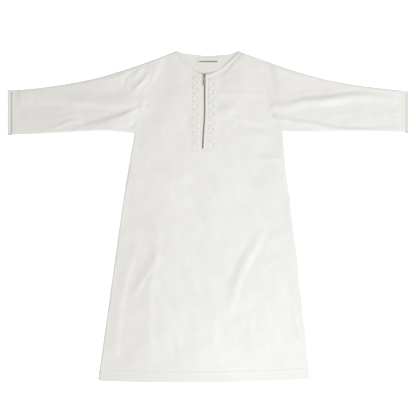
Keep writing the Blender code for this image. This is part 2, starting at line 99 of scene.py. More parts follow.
def light_the_stage():
    mesh = bmesh.new()
    bmesh.ops.create_grid(mesh, x_segments=1, y_segments=1, size=GROUND_SIZE * MM)
    bmesh.ops.translate(mesh, vec=(0.0, 0.0, -GROUND_DROP * MM), verts=mesh.verts[:])
    data = mesh_data("ground", mesh)
    ground_white, shader = new_material("ground white", (GROUND_WHITE,) * 3, GROUND_ROUGHNESS)
    shader.inputs["Emission Color"].default_value = WHITE
    shader.inputs["Emission Strength"].default_value = GROUND_GLOW
    data.materials.append(ground_white)
    ground = bpy.data.objects.new("ground", data)
    bpy.context.collection.objects.link(ground)

    for name, place, aim, size, watts in LAMPS:
        lamp = bpy.data.lights.new(name, "AREA")
        lamp.shape = "DISK"
        lamp.size = size
        lamp.energy = watts
        lamp.color = LAMP_COLOUR
        hung = bpy.data.objects.new(name, lamp)
        hung.location = place
        hung.rotation_euler = (Vector(aim) - Vector(place)).to_track_quat("-Z", "Y").to_euler()
        hung.visible_camera = False
        bpy.context.collection.objects.link(hung)

    sky = bpy.data.worlds.new("white room")
    bpy.context.scene.world = sky
    sky.use_nodes = True
    nodes = sky.node_tree.nodes
    light = nodes["Background"]
    light.inputs["Color"].default_value = (*SKY_COLOUR, 1.0)
    light.inputs["Strength"].default_value = SKY
    seen = nodes.new("ShaderNodeBackground")
    seen.inputs["Color"].default_value = WHITE
    path = nodes.new("ShaderNodeLightPath")
    choice = nodes.new("ShaderNodeMixShader")
    wire(path, "Is Camera Ray", choice, "Fac")
    wire(light, "Background", choice, 1)
    wire(seen, "Background", choice, 2)
    wire(choice, "Shader", nodes["World Output"], "Surface")
    bpy.context.scene.view_settings.view_transform = "Standard"

    camera_data = bpy.data.cameras.new("camera")
    camera_data.lens = LENS
    camera_data.sensor_width = SENSOR
    camera_data.clip_end = VIEW_END * MM
    camera = bpy.data.objects.new("camera", camera_data)
    distance = LENS / SENSOR * VIEW_WIDTH * MM
    camera.location = (0.0, VIEW_CENTRE_Y * MM, distance)
    bpy.context.collection.objects.link(camera)
    bpy.context.scene.camera = camera


light_the_stage()

# The robe as it lies: the outline of its front, back and sleeves, and the height of its upper face. The
# outline and the places of most large folds are those of the solids, and the heights are tuned to the photo.
# The cloth is a closely woven satin with plain seams: it dips at each seam and rolls down at its rim.
SOLID_CLOTH = 1.0
SEAM_GAP = 0.3
SEAM_STACK = 2 * SOLID_CLOTH + SEAM_GAP
HEM_STACK = 4 * SOLID_CLOTH + 3 * SEAM_GAP
CROWN = 5.2
CROWN_RISE = 4.6
HEM_DEPTH = 40.0
CUFF_DEPTH = 23.5
HEM_LIFT = (HEM_DEPTH + 6.0, HEM_DEPTH + 75.0)  # from here to here the turned-up layers lift less and less
CUFF_LIFT = (CUFF_DEPTH + 5.0, CUFF_DEPTH + 70.0)
FOLD_FADE = 5.0
FOLD_ENDS = (0.06, 0.94)
HEM_Y = -531.0
CUFF_X = 644.3
ZIP_X = -11.3
ZIP_DRIFT = -6.1
ZIP_DRIFT_FROM_Y = 345.0
SLIT_OPEN = 5.0  # between the folded edges, which lean over the zip's tapes
SLIT_END_Y = 220.0
PLACKET_TOP = 5.6
PLACKET_FLAT = 21.0
PLACKET_FADE = 24.0
PLACKET_END = (8.0, 40.0)
NECK_LOW_X = -11.0
NECK_LOW_Y = 457.0
NECK_POWER = 1.75
NECK_POINTS = 81
SIDES = ((-1, "left"), (1, "right"))
SHOULDER = {
    -1: [(-189.7, 500.5), (-146.0, 516.5), (-101.3, 533.5)],
    1: [(186.5, 501.3), (144.0, 516.5), (98.7, 533.5)],
}
SLEEVE_TOP = {
    -1: [(-189.7, 500.5), (-262.0, 475.5), (-365.0, 445.5), (-468.0, 425.5), (-571.0, 412.0),
         (-644.3, 407.2)],
    1: [(186.5, 501.3), (262.0, 475.5), (365.0, 445.5), (468.0, 425.5), (571.0, 412.0), (644.3, 404.6)],
}
SLEEVE_BOTTOM = {
    -1: [(-236.3, 266.4), (-341.0, 272.8), (-468.0, 268.0), (-644.3, 262.0)],
    1: [(244.0, 271.5), (360.0, 269.6), (535.0, 270.3), (644.3, 268.3)],
}
ARMHOLE = {
    -1: [(-189.7, 500.5), (-197.7, 440.0), (-213.0, 352.0), (-226.7, 301.7), (-236.3, 266.4)],
    1: [(186.5, 501.3), (190.5, 440.0), (209.0, 352.0), (223.5, 309.0), (244.0, 271.5)],
}
SIDE_SEAM = {
    -1: [(-236.3, 266.4), (-252.0, 181.0), (-273.0, 52.6), (-300.0, -140.0), (-352.7, -523.0)],
    1: [(244.0, 271.5), (251.4, 181.0), (266.5, 52.6), (290.0, -140.0), (331.5, -521.4)],
}
HEM = [(-352.7, -523.0), (-339.0, -527.6), (-236.0, -531.0), (-82.0, -532.6), (21.0, -533.6),
       (98.0, -531.0), (201.0, -528.0), (278.0, -524.0), (331.5, -521.4)]

# The large folds: points along the crest, width of the fold on the left and on the right of that line, as
# seen along it, and height (below 0 is a trough)
FOLDS = [
    ([(-229, -98), (-248, -147), (-264, -203), (-277, -267), (-289, -372), (-297, -440)], 15, 34, 1.4),
    ([(-168, -134), (-193, -175), (-217, -215), (-234, -248)], 14, 28, 2.1),
    ([(-156, -34), (-164, -122), (-178, -187), (-184, -235), (-185, -460)], 18, 30, 1.3),
    ([(176, -52), (136, -120), (97, -198), (76, -290)], 22, 28, 2.1),
    ([(160, -30), (120, -100), (84, -180), (64, -250)], 14, 26, -0.3),
    ([(199, -70), (181, -128)], 14, 14, 0.5),
    ([(21, 40), (16, -90)], 30, 44, 1.0),
    ([(-50, -165), (-56, -225)], 34, 46, 0.7),
    ([(221, -335), (221, -465)], 12, 20, 0.4),
    ([(176, 191), (210, 187), (245, 183)], 10, 14, 2.0),
    ([(-572, 381), (-508, 374), (-444, 369), (-387, 368), (-328, 363), (-267, 360), (-218, 364)],
     40, 22, 3.6),
    ([(-211, 351), (-247, 335), (-283, 319), (-319, 308), (-355, 297), (-387, 289), (-420, 279)],
     45, 17, 3.5),
    ([(-411, 307), (-440, 305), (-460, 298), (-480, 290), (-508, 283)], 11, 12, 1.9),
    ([(-196, 454), (-217, 428), (-237, 409)], 16, 10, 2.8),
    ([(-216, 476), (-252, 456), (-306, 438)], 14, 20, 0.5),
    ([(211, 354), (267, 360), (307, 370), (347, 374), (396, 378), (468, 388), (527, 386), (592, 377)],
     17, 28, 4.4),
    ([(222, 326), (267, 308), (307, 302), (347, 295), (387, 286), (428, 280), (488, 277), (548, 278),
      (612, 281)], 13, 19, 2.4),
    ([(196, 492), (226, 474), (250, 466)], 13, 13, 1.4),
    ([(192, 466), (208, 444), (226, 428)], 20, 22, -1.6),
    ([(-145, 518), (-161, 484), (-173, 456), (-191, 424)], 14, 44, 1.7),
    ([(35, 394), (105, 396), (178, 391)], 12, 16, 1.1),
    ([(-118, 40), (-140, -150), (-158, -330), (-166, -480)], 140, 190, 3.0),
    ([(45, 341), (92, 345)], 18, 22, 1.8),
    ([(103, 300), (153, 286), (199, 280)], 20, 22, -2.0),
]
# The fine creases that only the look needs, in the same columns
CREASES = [
    ([(222, 336), (267, 319), (307, 313), (347, 306), (387, 297), (428, 291), (500, 288), (570, 290)],
     9, 8, -0.3),
    ([(-179, -134), (-204, -175), (-228, -212)], 7, 7, -0.3),
    ([(214, 320), (236, 311), (256, 303)], 13, 8, 3.4),
    ([(226, 300), (252, 286), (280, 281)], 7, 7, -0.8),
    ([(205, 478), (222, 470)], 7, 7, 0.9),
    ([(198, 452), (216, 452), (240, 458)], 6, 6, 0.6),
    ([(212, 420), (232, 404), (262, 398)], 8, 8, 0.7),
    ([(232, 400), (286, 402), (330, 410)], 8, 8, -0.5),
    ([(560, 335), (600, 332), (632, 336)], 7, 7, 0.5),
    ([(520, 318), (560, 312), (596, 314)], 8, 8, -0.5),
    ([(380, 325), (430, 330), (470, 328)], 9, 9, 0.5),
    ([(245, 168), (226, 163), (206, 166)], 6, 6, 0.7),
    ([(250, 140), (240, 120)], 6, 6, 0.8),
    ([(257, 108), (246, 84)], 6, 6, 0.6),
    ([(262, 72), (250, 46)], 6, 6, -0.6),
    ([(-211, 352), (-247, 337), (-283, 322)], 9, 7, 1.5),
    ([(-205, 478), (-226, 462), (-240, 440)], 7, 7, 1.3),
    ([(-232, 470), (-262, 448), (-272, 424)], 8, 8, -1.3),
    ([(-262, 462), (-300, 446), (-352, 436)], 7, 7, 0.9),
    ([(-206, 420), (-232, 396), (-268, 388)], 8, 8, 0.7),
    ([(-226, 318), (-256, 302), (-290, 290)], 6, 6, 0.7),
    ([(-232, 300), (-262, 282)], 7, 7, -0.7),
    ([(-560, 372), (-590, 352), (-618, 350)], 9, 9, -0.6),
    ([(-400, 340), (-450, 336), (-510, 326)], 10, 10, -0.6),
    ([(-540, 320), (-590, 314), (-624, 318)], 9, 9, 0.5),
    ([(-246, 150), (-232, 128), (-226, 100)], 7, 7, 0.6),
    ([(-258, 84), (-244, 60)], 7, 7, -0.5),
    ([(-205, 236), (-212, 206)], 8, 8, 0.5),
    ([(52, 368), (78, 372), (104, 370)], 7, 7, -0.5),
    ([(50, 356), (84, 358)], 7, 7, 0.6),
    ([(44, 310), (70, 312), (96, 306)], 8, 8, -0.5),
    ([(-40, 442), (-66, 456), (-92, 478)], 9, 9, -0.8),
    ([(28, 448), (54, 466), (78, 494)], 9, 9, -0.8),
    ([(274, -286), (282, -330), (292, -392)], 9, 9, 0.7),
    ([(258, -220), (268, -258)], 8, 8, -0.6),
    ([(-150, -180), (-154, -300)], 12, 12, -0.3),
    ([(140, -300), (132, -400)], 14, 14, 0.5),
    ([(20, -330), (12, -440)], 18, 18, 0.5),
    ([(-96, -360), (-92, -460)], 16, 16, 0.5),
]
# Slight unevenness of cloth that has been worn and laid down: wave length, direction, height
RUMPLES = [(210.0, 0.4, 0.5), (151.0, 2.0, 0.4), (97.0, 1.2, 0.3), (63.0, 2.7, 0.15), (44.0, 0.9, 0.08),
           (31.0, 2.2, 0.05), (22.0, 1.3, 0.03)]


def fade(value, near, far):
    """1 up to near, 0 from far on, and smooth between."""
    share = np.clip((value - near) / (far - near), 0.0, 1.0)
    return 1.0 - share * share * (3.0 - 2.0 * share)


def smooth_line(points, steps=8):
    """A polyline along the smooth curve that goes through a few points."""
    knots = np.array(points, dtype=float)
    if len(knots) == 2:
        return knots
    knots = np.concatenate([[2 * knots[0] - knots[1]], knots, [2 * knots[-1] - knots[-2]]])
    line = []
    for a, b, c, d in zip(knots, knots[1:], knots[2:], knots[3:]):
        for step in range(steps):
            s = step / steps
            bend = 2 * a - 5 * b + 4 * c - d
            line.append(0.5 * (2 * b + (c - a) * s + bend * s**2 + (3 * b - a - 3 * c + d) * s**3))
    line.append(knots[-2])
    return np.array(line)


def span_lengths(line):
    return np.hypot(*np.diff(line, axis=0).T)


def along(line, shares):
    """The points at these shares of a polyline's length."""
    lengths = np.concatenate([[0.0], np.cumsum(span_lengths(line))])
    at = np.clip(shares, 0.0, 1.0) * lengths[-1]
    return np.stack([np.interp(at, lengths, line[:, 0]), np.interp(at, lengths, line[:, 1])], axis=-1)


def nearest(line, points):
    """Distance from each point to a polyline, the share of its spans at which it is nearest, and whether
    the point is on the left of it."""
    best = np.full(points.shape[:-1], np.inf)
    share = np.zeros_like(best)
    on_left = np.zeros(best.shape, dtype=bool)
    spans = len(line) - 1
    for index in range(spans):
        start, run = line[index], line[index + 1] - line[index]
        part = np.clip(((points - start) @ run) / (run @ run), 0.0, 1.0)
        away = start + part[..., None] * run - points
        distance = np.hypot(away[..., 0], away[..., 1])
        closer = distance < best
        best = np.where(closer, distance, best)
        share = np.where(closer, (index + part) / spans, share)
        on_left = np.where(closer, run[0] * away[..., 1] < run[1] * away[..., 0], on_left)
    return best, share, on_left


EDGES = {"shoulder": SHOULDER, "sleeve top": SLEEVE_TOP, "sleeve bottom": SLEEVE_BOTTOM, "armhole": ARMHOLE,
         "side seam": SIDE_SEAM}
LINES = {(name, side): smooth_line(table[side]) for name, table in EDGES.items() for side, _ in SIDES}
HEM_LINE = smooth_line(HEM)
RIM_LINES = [line for (name, _), line in LINES.items() if name != "armhole"]
FOLD_LINES = [(smooth_line(points, 4), *shape) for points, *shape in FOLDS]
CREASE_LINES = [(smooth_line(points, 4), *shape) for points, *shape in CREASES]
NECK_LEFT_X, NECK_RIGHT_X = SHOULDER[-1][-1][0], SHOULDER[1][-1][0]
NECK_TOP_Y = SHOULDER[1][-1][1]


def hem_y(x):
    """The hem's fold, as Y at each X."""
    return np.interp(x, HEM_LINE[:, 0], HEM_LINE[:, 1])


def zip_x(y):
    """The zip runs straight down and drifts to the left at its lower end."""
    return ZIP_X + ZIP_DRIFT * (1.0 - fade(ZIP_DRIFT_FROM_Y - y, 0.0, ZIP_DRIFT_FROM_Y - SLIT_END_Y))


def neckline_y(x):
    """The front neckline, a rounded V whose lowest point is at the zip."""
    reach = np.where(x < NECK_LOW_X, NECK_LEFT_X - NECK_LOW_X, NECK_RIGHT_X - NECK_LOW_X)
    share = np.clip((x - NECK_LOW_X) / reach, 0.0, 1.0)
    return NECK_LOW_Y + (NECK_TOP_Y - NECK_LOW_Y) * share**NECK_POWER


NECKLINE = np.stack([np.linspace(NECK_LEFT_X, NECK_RIGHT_X, NECK_POINTS)] * 2, axis=-1)
NECKLINE[:, 1] = neckline_y(NECKLINE[:, 0])


def folds_at(points, lines):
    """The height that a list of folds adds."""
    height = np.zeros(points.shape[:-1])
    for line, left_width, right_width, fold_height in lines:
        distance, share, on_left = nearest(line, points)
        width = np.where(on_left, left_width, right_width)
        bump = np.cos(np.minimum(distance / width, 1.0) * math.pi / 2) ** 2
        height += fold_height * bump * np.sin(math.pi * np.clip(share, *FOLD_ENDS)) ** 0.5
    return height


def from_seams(points, lines):
    """Distance to the nearest of several lines."""
    return np.min([nearest(line, points)[0] for line in lines], axis=0)


def cuff_lift(x):
    """How much the turned-up cuff lifts the cloth, from 1 at the cuff to 0."""
    return fade(CUFF_X - np.abs(x), *CUFF_LIFT)


def folded_top(points):
    """Height of the upper face with its large folds, and how far each point is from the robe's rim."""
    x, y = points[..., 0], points[..., 1]
    lift = np.maximum(fade(y - HEM_Y, *HEM_LIFT), cuff_lift(x))
    rim = SEAM_STACK + (HEM_STACK - SEAM_STACK) * lift
    from_rim = from_seams(points, RIM_LINES)
    height = rim + (CROWN - rim) * np.sin(np.minimum(from_rim / CROWN_RISE, 1.0) * math.pi / 2)
    height += folds_at(points, FOLD_LINES) * (1.0 - fade(from_rim, 0.0, FOLD_FADE))
    beside_zip = fade(np.abs(x - zip_x(y)), PLACKET_FLAT, PLACKET_FLAT + PLACKET_FADE)
    beside_zip *= fade(SLIT_END_Y - y, *PLACKET_END)
    height += (PLACKET_TOP - height) * beside_zip
    return np.maximum(height, rim), from_rim


# Stitched parts hold the cloth flat; that fades out between these distances from the hem, cuff and zip
FLAT_HEM = (44.0, 70.0)
FLAT_CUFF = (26.0, 46.0)
FLAT_BESIDE_ZIP = (40.0, 52.0)
FLAT_BELOW_ZIP = (14.0, 34.0)
FLAT_SHARE = 0.75
RUMPLE_BEND = 1.6
RUMPLE_BEND_LENGTH = 1.7  # in wave lengths of the rumple
# The fold at a sleeve's top springs up: height and reach
TOP_SPRING = {-1: (2.4, 64.0), 1: (1.1, 34.0)}
TOP_SPRING_FULL = 6.0
TOP_SPRING_RIM = 4.0
# Armholes: swell of the sleeve outside the seam, dent and ridge of the seam, pucker along it
SLEEVE_SWELL = 1.6
SWELL_START, SWELL_END = 36.0, (120.0, 420.0)
SWELL_RIM = 8.0
SEAM_DENT = (0.2, 1.0)
SEAM_RIDGE, SEAM_RIDGE_FADE = 0.4, (2.0, 9.0)
PUCKER, PUCKER_FADE = 0.08, (1.0, 13.0)
PUCKER_WAVES, PUCKER_SWAY, PUCKER_SWAY_WAVES = 152.0, 2.0, 37.0
# Neckline: slope into the neck and beside the zip, ridge, dent of the stitches, hollow outside, rolled edge
NECK_STITCH = 10.5
NECK_SLOPE, NECK_SLOPE_REACH = 1.9, 24.0
ZIP_SLOPE, ZIP_SLOPE_REACH = 0.6, 9.0
NEAR_ZIP = (14.0, 44.0)
NECK_LEFT = (-34.0, -18.0)
NECK_RIDGE, NECK_RIDGE_FADE = 0.25, (7.0, 11.5)
NECK_DENT, NECK_DENT_LEFT = 0.5, 0.8  # the left side's is deeper and wider by the second
NECK_HOLLOW_AWAY, NECK_HOLLOW = 5.0, (0.3, 5.5)
NECK_EDGE = (0.3, 1.0)
# Zip slit: dent of the stitches, ridge inside them, rolled edge
ZIP_STITCH = 9.0
ZIP_DENT = (0.45, 1.5)
ZIP_RIDGE_AWAY, ZIP_RIDGE, ZIP_RIDGE_FADE = 6.2, 0.25, (0.6, 2.6)
ZIP_EDGE = (0.6, 1.2)
SLIT_FADE = (-2.0, 3.0)
# Hem and cuffs: rows of stitches, their dents, the hem's ridge and the drag lines in it
HEM_STITCH = HEM_DEPTH - 1.6
HEM_DENT = 0.85
HEM_RIDGE_UP, HEM_RIDGE, HEM_RIDGE_FADE = 34.5, 0.35, (1.0, 5.0)
HEM_DRAG, HEM_DRAG_UP, HEM_DRAG_FADE = 0.07, 20.0, (12.0, 20.0)
DRAG_WAVE, DRAG_SWAY, DRAG_SWAY_WAVE = 0.42, 1.3, 0.05
CUFF_STITCH = 23.8
CUFF_DENT = 0.45
DENT_WIDTH = 1.8


def groove(distance, depth, width=DENT_WIDTH):
    """A soft dent along a row of stitches or a seam."""
    return -depth * np.exp(-((distance / width) ** 2))


def edge_drop(distance, depth, radius):
    """How far a rolled edge falls, in a quarter round."""
    return depth * (1.0 - np.sqrt(1.0 - (1.0 - np.minimum(distance / radius, 1.0)) ** 2))


def outer_face(points):
    """Height of the robe's upper face with its seams, stitched edges and fine creases."""
    x, y = points[..., 0], points[..., 1]
    height, from_rim = folded_top(points)
    inside = 1.0 - fade(from_rim, 2.0, FOLD_FADE)
    from_hem = y - hem_y(x)
    from_cuff = CUFF_X - np.abs(x)
    from_zip = np.abs(x - zip_x(y))
    beside_zip = fade(from_zip, *FLAT_BESIDE_ZIP) * fade(SLIT_END_Y - y, *FLAT_BELOW_ZIP)
    flat_parts = np.maximum.reduce([fade(from_hem, *FLAT_HEM), fade(from_cuff, *FLAT_CUFF), beside_zip])
    loose = inside * (1.0 - FLAT_SHARE * flat_parts)
    height = height + folds_at(points, CREASE_LINES) * loose
    for length, direction, rumple in RUMPLES:
        phase = (x * math.cos(direction) + y * math.sin(direction)) * 2 * math.pi / length
        over = y * math.cos(direction) - x * math.sin(direction)
        bend = np.sin(over * 2 * math.pi / (length * RUMPLE_BEND_LENGTH) + length)
        height = height + rumple * np.sin(phase + RUMPLE_BEND * bend) * loose

    # Sleeve tops: the fold stands a little higher than the cloth inside it
    for side, _ in SIDES:
        spring, reach = TOP_SPRING[side]
        sprung = fade(nearest(LINES["sleeve top", side], points)[0], TOP_SPRING_FULL, reach)
        sprung = sprung * (1.0 - fade(from_rim, 0.0, TOP_SPRING_RIM))
        height = height + spring * sprung * (1.0 - flat_parts)

    # Armhole seams: both pieces dip into the seam and pucker along it, and the sleeve swells outside it
    for side, _ in SIDES:
        distance, share, on_left = nearest(LINES["armhole", side], points)
        swell = (1.0 - fade(distance, 0.0, SWELL_START)) * fade(distance, *SWELL_END)
        in_sleeve = on_left == (side > 0)
        height = height + SLEEVE_SWELL * swell * in_sleeve * (1.0 - fade(from_rim, 0.0, SWELL_RIM))
        pucker = np.sin(share * PUCKER_WAVES + PUCKER_SWAY * np.sin(share * PUCKER_SWAY_WAVES))
        pucker = pucker * fade(distance, *PUCKER_FADE)
        ridge = SEAM_RIDGE * fade(distance, *SEAM_RIDGE_FADE) + PUCKER * pucker
        height = height + groove(distance, *SEAM_DENT) + ridge * inside

    # Neckline: a stitched band that slopes down into the neck, its edge rolled, with a hollow outside it
    distance = nearest(NECKLINE, points)[0]
    near_zip = fade(from_zip, *NEAR_ZIP)
    at_left = fade(x, *NECK_LEFT)
    height = height - NECK_SLOPE * fade(distance, 0.0, NECK_SLOPE_REACH) * (1.0 - near_zip)
    height = height - ZIP_SLOPE * fade(distance, 0.0, ZIP_SLOPE_REACH) * near_zip
    height = height + NECK_RIDGE * fade(distance, *NECK_RIDGE_FADE)
    deeper = NECK_DENT_LEFT * at_left
    height = height + groove(distance - NECK_STITCH, NECK_DENT + deeper, DENT_WIDTH + deeper)
    height = height + groove(distance - NECK_STITCH - NECK_HOLLOW_AWAY, *NECK_HOLLOW)
    height = height - edge_drop(distance, *NECK_EDGE)

    # Zip slit: folded edges, stitched down beside the zip
    in_slit = fade(SLIT_END_Y - y, *SLIT_FADE)
    ridge = ZIP_RIDGE * fade(np.abs(from_zip - ZIP_RIDGE_AWAY), *ZIP_RIDGE_FADE)
    height = height + (groove(from_zip - ZIP_STITCH, *ZIP_DENT) + ridge) * in_slit
    height = height - edge_drop(np.maximum(from_zip - SLIT_OPEN / 2, 0.0), *ZIP_EDGE) * in_slit

    # Hem and cuffs: a row of stitches, with a ridge below it and slight drag lines between
    drag = np.sin(x * DRAG_WAVE + DRAG_SWAY * np.sin(x * DRAG_SWAY_WAVE))
    drag = drag * fade(np.abs(from_hem - HEM_DRAG_UP), *HEM_DRAG_FADE)
    height = height + groove(from_hem - HEM_STITCH, HEM_DENT) * inside
    height = height + HEM_RIDGE * inside * fade(np.abs(from_hem - HEM_RIDGE_UP), *HEM_RIDGE_FADE)
    height = height + HEM_DRAG * drag * inside
    height = height + groove(from_cuff - CUFF_STITCH, CUFF_DENT) * inside
    return height, from_rim


def rolled(height, from_rim, low, radius):
    """The upper face brought down in a quarter round to where it meets the piece below at the rim."""
    share = 1.0 - np.minimum(from_rim / radius, 1.0)
    return low + (height - low) * np.sqrt(1.0 - share**2)


# The cloth of the front, back and sleeves: off-white satin of fine yarn, soft and slightly lustrous, with
# a close weave that only shows near by. Its warp runs along each piece.
CLOTH_WHITE = (0.80, 0.788, 0.762)
CLOTH_SHADE = (0.765, 0.752, 0.725)
BODY_WARP, SLEEVE_WARP = (0.36, 1.5, 0.0), (0.36, 1.5, math.pi / 2)  # yarn, float, turn of the warp
WAVE_PERIOD = 2 * math.pi / 20  # period of Blender's band texture at scale 1
YARN_WANDER = 1.5
SHEEN_ROUGHNESS = 0.4
CLOTH_SPECULAR = 0.45
CLOTH_NOISE = [  # clouds of shade, slubs in the yarn and small wrinkles: scale, detail, roughness
    (9.0, 4.0, 0.6),
    (420.0, 2.0, 0.5),
    (70.0, 5.0, 0.55),
]
SHADE_FROM, SHADE_TO = 0.35, 0.62
GLOSS_BELOW, GLOSS_ABOVE = 0.06, 0.08


def add(material, kind, **values):
    """A node of this kind, with its settings and the values of its sockets."""
    node = material.node_tree.nodes.new(kind)
    for name, value in values.items():
        socket = name.replace("_", " ").title()
        if hasattr(node, name):
            setattr(node, name, value)
        else:
            node.inputs[socket].default_value = value
    return node


def ramp(material, low, dark, high, light):
    """A colour ramp from one place and colour to another."""
    node = add(material, "ShaderNodeValToRGB")
    for element, place, colour in zip(node.color_ramp.elements, (low, high), (dark, light)):
        element.position = place
        element.color = (*colour, 1.0)
    return node


def woven(name, light, dark, roughness, sheen, warp, bump, wrinkle):
    """A woven cloth: yarns that float and then dip, small wrinkles, and slight changes of shade and gloss."""
    yarn, floating, turn = warp
    made, shader = new_material(name, light, roughness)
    shader.inputs["Sheen Weight"].default_value = sheen
    shader.inputs["Sheen Roughness"].default_value = SHEEN_ROUGHNESS
    shader.inputs["Specular IOR Level"].default_value = CLOTH_SPECULAR
    place = add(made, "ShaderNodeTexCoord")
    turned = add(made, "ShaderNodeMapping", rotation=(0.0, 0.0, turn))
    wire(place, "Object", turned, "Vector")
    weave = add(made, "ShaderNodeMath", operation="MULTIPLY")
    for index, (direction, period) in enumerate((("X", yarn), ("Y", floating))):
        bands = add(made, "ShaderNodeTexWave", wave_type="BANDS", bands_direction=direction,
                    scale=WAVE_PERIOD / (period * MM), distortion=YARN_WANDER, detail=1.0)
        wire(turned, "Vector", bands, "Vector")
        wire(bands, "Fac", weave, index)
    noises = []
    for scale, detail, rough in CLOTH_NOISE:
        noises.append(add(made, "ShaderNodeTexNoise", scale=scale, detail=detail, roughness=rough))
        wire(turned, "Vector", noises[-1], "Vector")
    clouds, slubs, creases = noises
    mixed = add(made, "ShaderNodeMath", operation="ADD")
    wire(clouds, "Fac", mixed, 0)
    wire(slubs, "Fac", mixed, 1)
    half = add(made, "ShaderNodeMath", operation="MULTIPLY")
    half.inputs[1].default_value = 0.5
    wire(mixed, "Value", half, 0)
    shade = ramp(made, SHADE_FROM, dark, SHADE_TO, light)
    wire(half, "Value", shade, "Fac")
    wire(shade, "Color", shader, "Base Color")
    gloss = add(made, "ShaderNodeMapRange", to_min=roughness - GLOSS_BELOW, to_max=roughness + GLOSS_ABOVE)
    wire(clouds, "Fac", gloss, "Value")
    wire(gloss, "Result", shader, "Roughness")
    wrinkles = add(made, "ShaderNodeBump", strength=1.0, distance=wrinkle * MM)
    wire(creases, "Fac", wrinkles, "Height")
    threads = add(made, "ShaderNodeBump", strength=1.0, distance=bump * MM)
    wire(weave, "Value", threads, "Height")
    wire(wrinkles, "Normal", threads, "Normal")
    wire(threads, "Normal", shader, "Normal")
    return made


satin = woven("satin", CLOTH_WHITE, CLOTH_SHADE, 0.46, 0.15, BODY_WARP, 0.03, 0.35)
sleeve_satin = woven("sleeve satin", CLOTH_WHITE, CLOTH_SHADE, 0.46, 0.15, SLEEVE_WARP, 0.03, 0.35)


# Front: one piece of satin, slit from the neckline for the zip, the slit's edges folded under, its hem
# turned up 40 mm inside and stitched. The side seams and shoulders join it to the back.
CLOTH = 0.6
TURN_RADIUS = SEAM_STACK / 2
ARMHOLE_SHARE = 0.26  # of a body panel's length
EDGE_STEPS = (0.0, 0.15, 0.5, 1.1, 2.0, 3.2, 5.0, 7.5)
NECK_STEPS = (0.0, 0.3, 0.8, 1.5, 2.5, 4.0, 6.0, 8.0, 9.4, 10.6, 11.8, 13.4, 15.6, 18.5)
HEM_STEPS = (0.0, 1.0, 2.0, 3.4, 5.0, 7.0, 10.0, 14.0, 18.0, 22.0, 26.0, 30.0, 32.6, 34.6, 36.2, 37.4, 38.4,
             39.4, 40.6, 42.4, 45.0, 49.0)
TURN_STEPS = 6
TURN_UP_SPACING = 5.5
SEAM_ROLL = 3.4
JOIN_TOP = 2 * CLOTH + 0.05
TURN_INSET = 4.2  # the turned-up layer stops this far from the side seams
SPACING = 4.0
SKIRT_SPACING = 5.2
SLIT_COLUMNS = 3
CHEST = 225.0
ZIP_SIDE = 237.0
SKIRT = SLIT_END_Y - HEM_Y
END = np.array([1.0])
WELD = 1e-6
SHARP_CLOTH = 60.0


def graded(length, spacing, start_steps, end_steps):
    """Shares of a length, evenly spaced with closer steps at its two ends."""
    start = np.array(start_steps)
    end = length - np.array(end_steps)
    middle = np.linspace(start.max(), end.min(), round((end.min() - start.max()) / spacing) + 1)
    return np.unique(np.concatenate([start, middle, end])) / length


def patch(left, right, top, bottom, u, v):
    """The sheet spanned between four edges, as points by column and row; u is across and v down."""
    ends = np.array([0.0, 1.0])
    left_ends, right_ends = left(ends), right(ends)
    ruled = left(v)[None] + (right(v) - left(v))[None] * u[:, None, None]
    top_bow = top(u) - (left_ends[0] + (right_ends[0] - left_ends[0]) * u[:, None])
    bottom_bow = bottom(u) - (left_ends[1] + (right_ends[1] - left_ends[1]) * u[:, None])
    return ruled + top_bow[:, None] * (1.0 - v)[:, None] ** 2 + bottom_bow[:, None] * v[:, None] ** 2


def body_edge(side):
    """A body panel's outer edge, down the armhole and then the side seam to the hem's fold."""

    def edge(v):
        down = np.clip((v - ARMHOLE_SHARE) / (1.0 - ARMHOLE_SHARE), 0.0, 1.0)
        armhole = along(LINES["armhole", side], v / ARMHOLE_SHARE)
        seam = along(LINES["side seam", side], down) + np.outer(down, (0.0, TURN_RADIUS))
        return np.where((v <= ARMHOLE_SHARE)[:, None], armhole, seam)

    return edge


def hem_points(start_x, end_x):
    """The hem's fold between two X, as an edge."""

    def edge(u):
        x = start_x + (end_x - start_x) * u
        return np.stack([x, hem_y(x) + TURN_RADIUS], axis=-1)

    return edge


def slit_edge(side):
    """The edge of the zip's slit on one side, and the line that carries it on down to the hem."""
    half = side * SLIT_OPEN / 2
    top = float(neckline_y(zip_x(NECK_LOW_Y) + half))
    bottom = float(hem_y(zip_x(HEM_Y) + half)) + TURN_RADIUS

    def edge(v):
        y = np.interp(v, [0.0, ARMHOLE_SHARE, 1.0], [top, SLIT_END_Y, bottom])
        return np.stack([zip_x(y) + half, y], axis=-1)

    return edge


def front_top(side):
    """The front's upper edge on one side, along the shoulder and then down the neckline to the slit."""
    slit_x = zip_x(NECK_LOW_Y) + side * SLIT_OPEN / 2
    neck_x = SHOULDER[side][-1][0]

    def edge(u):
        x = neck_x + (slit_x - neck_x) * np.clip(2 * u - 1, 0.0, 1.0)
        neck = np.stack([x, neckline_y(x)], axis=-1)
        return np.where((u <= 0.5)[:, None], along(LINES["shoulder", side], 2 * u), neck)

    return edge


def front_half(side, u, v):
    """The plan of the front on one side of the slit, from the side seam to the slit."""
    outer, inner = body_edge(side), slit_edge(side)
    hem = hem_points(outer(END)[0, 0], inner(END)[0, 0])
    return patch(outer, inner, front_top(side), hem, u, v)


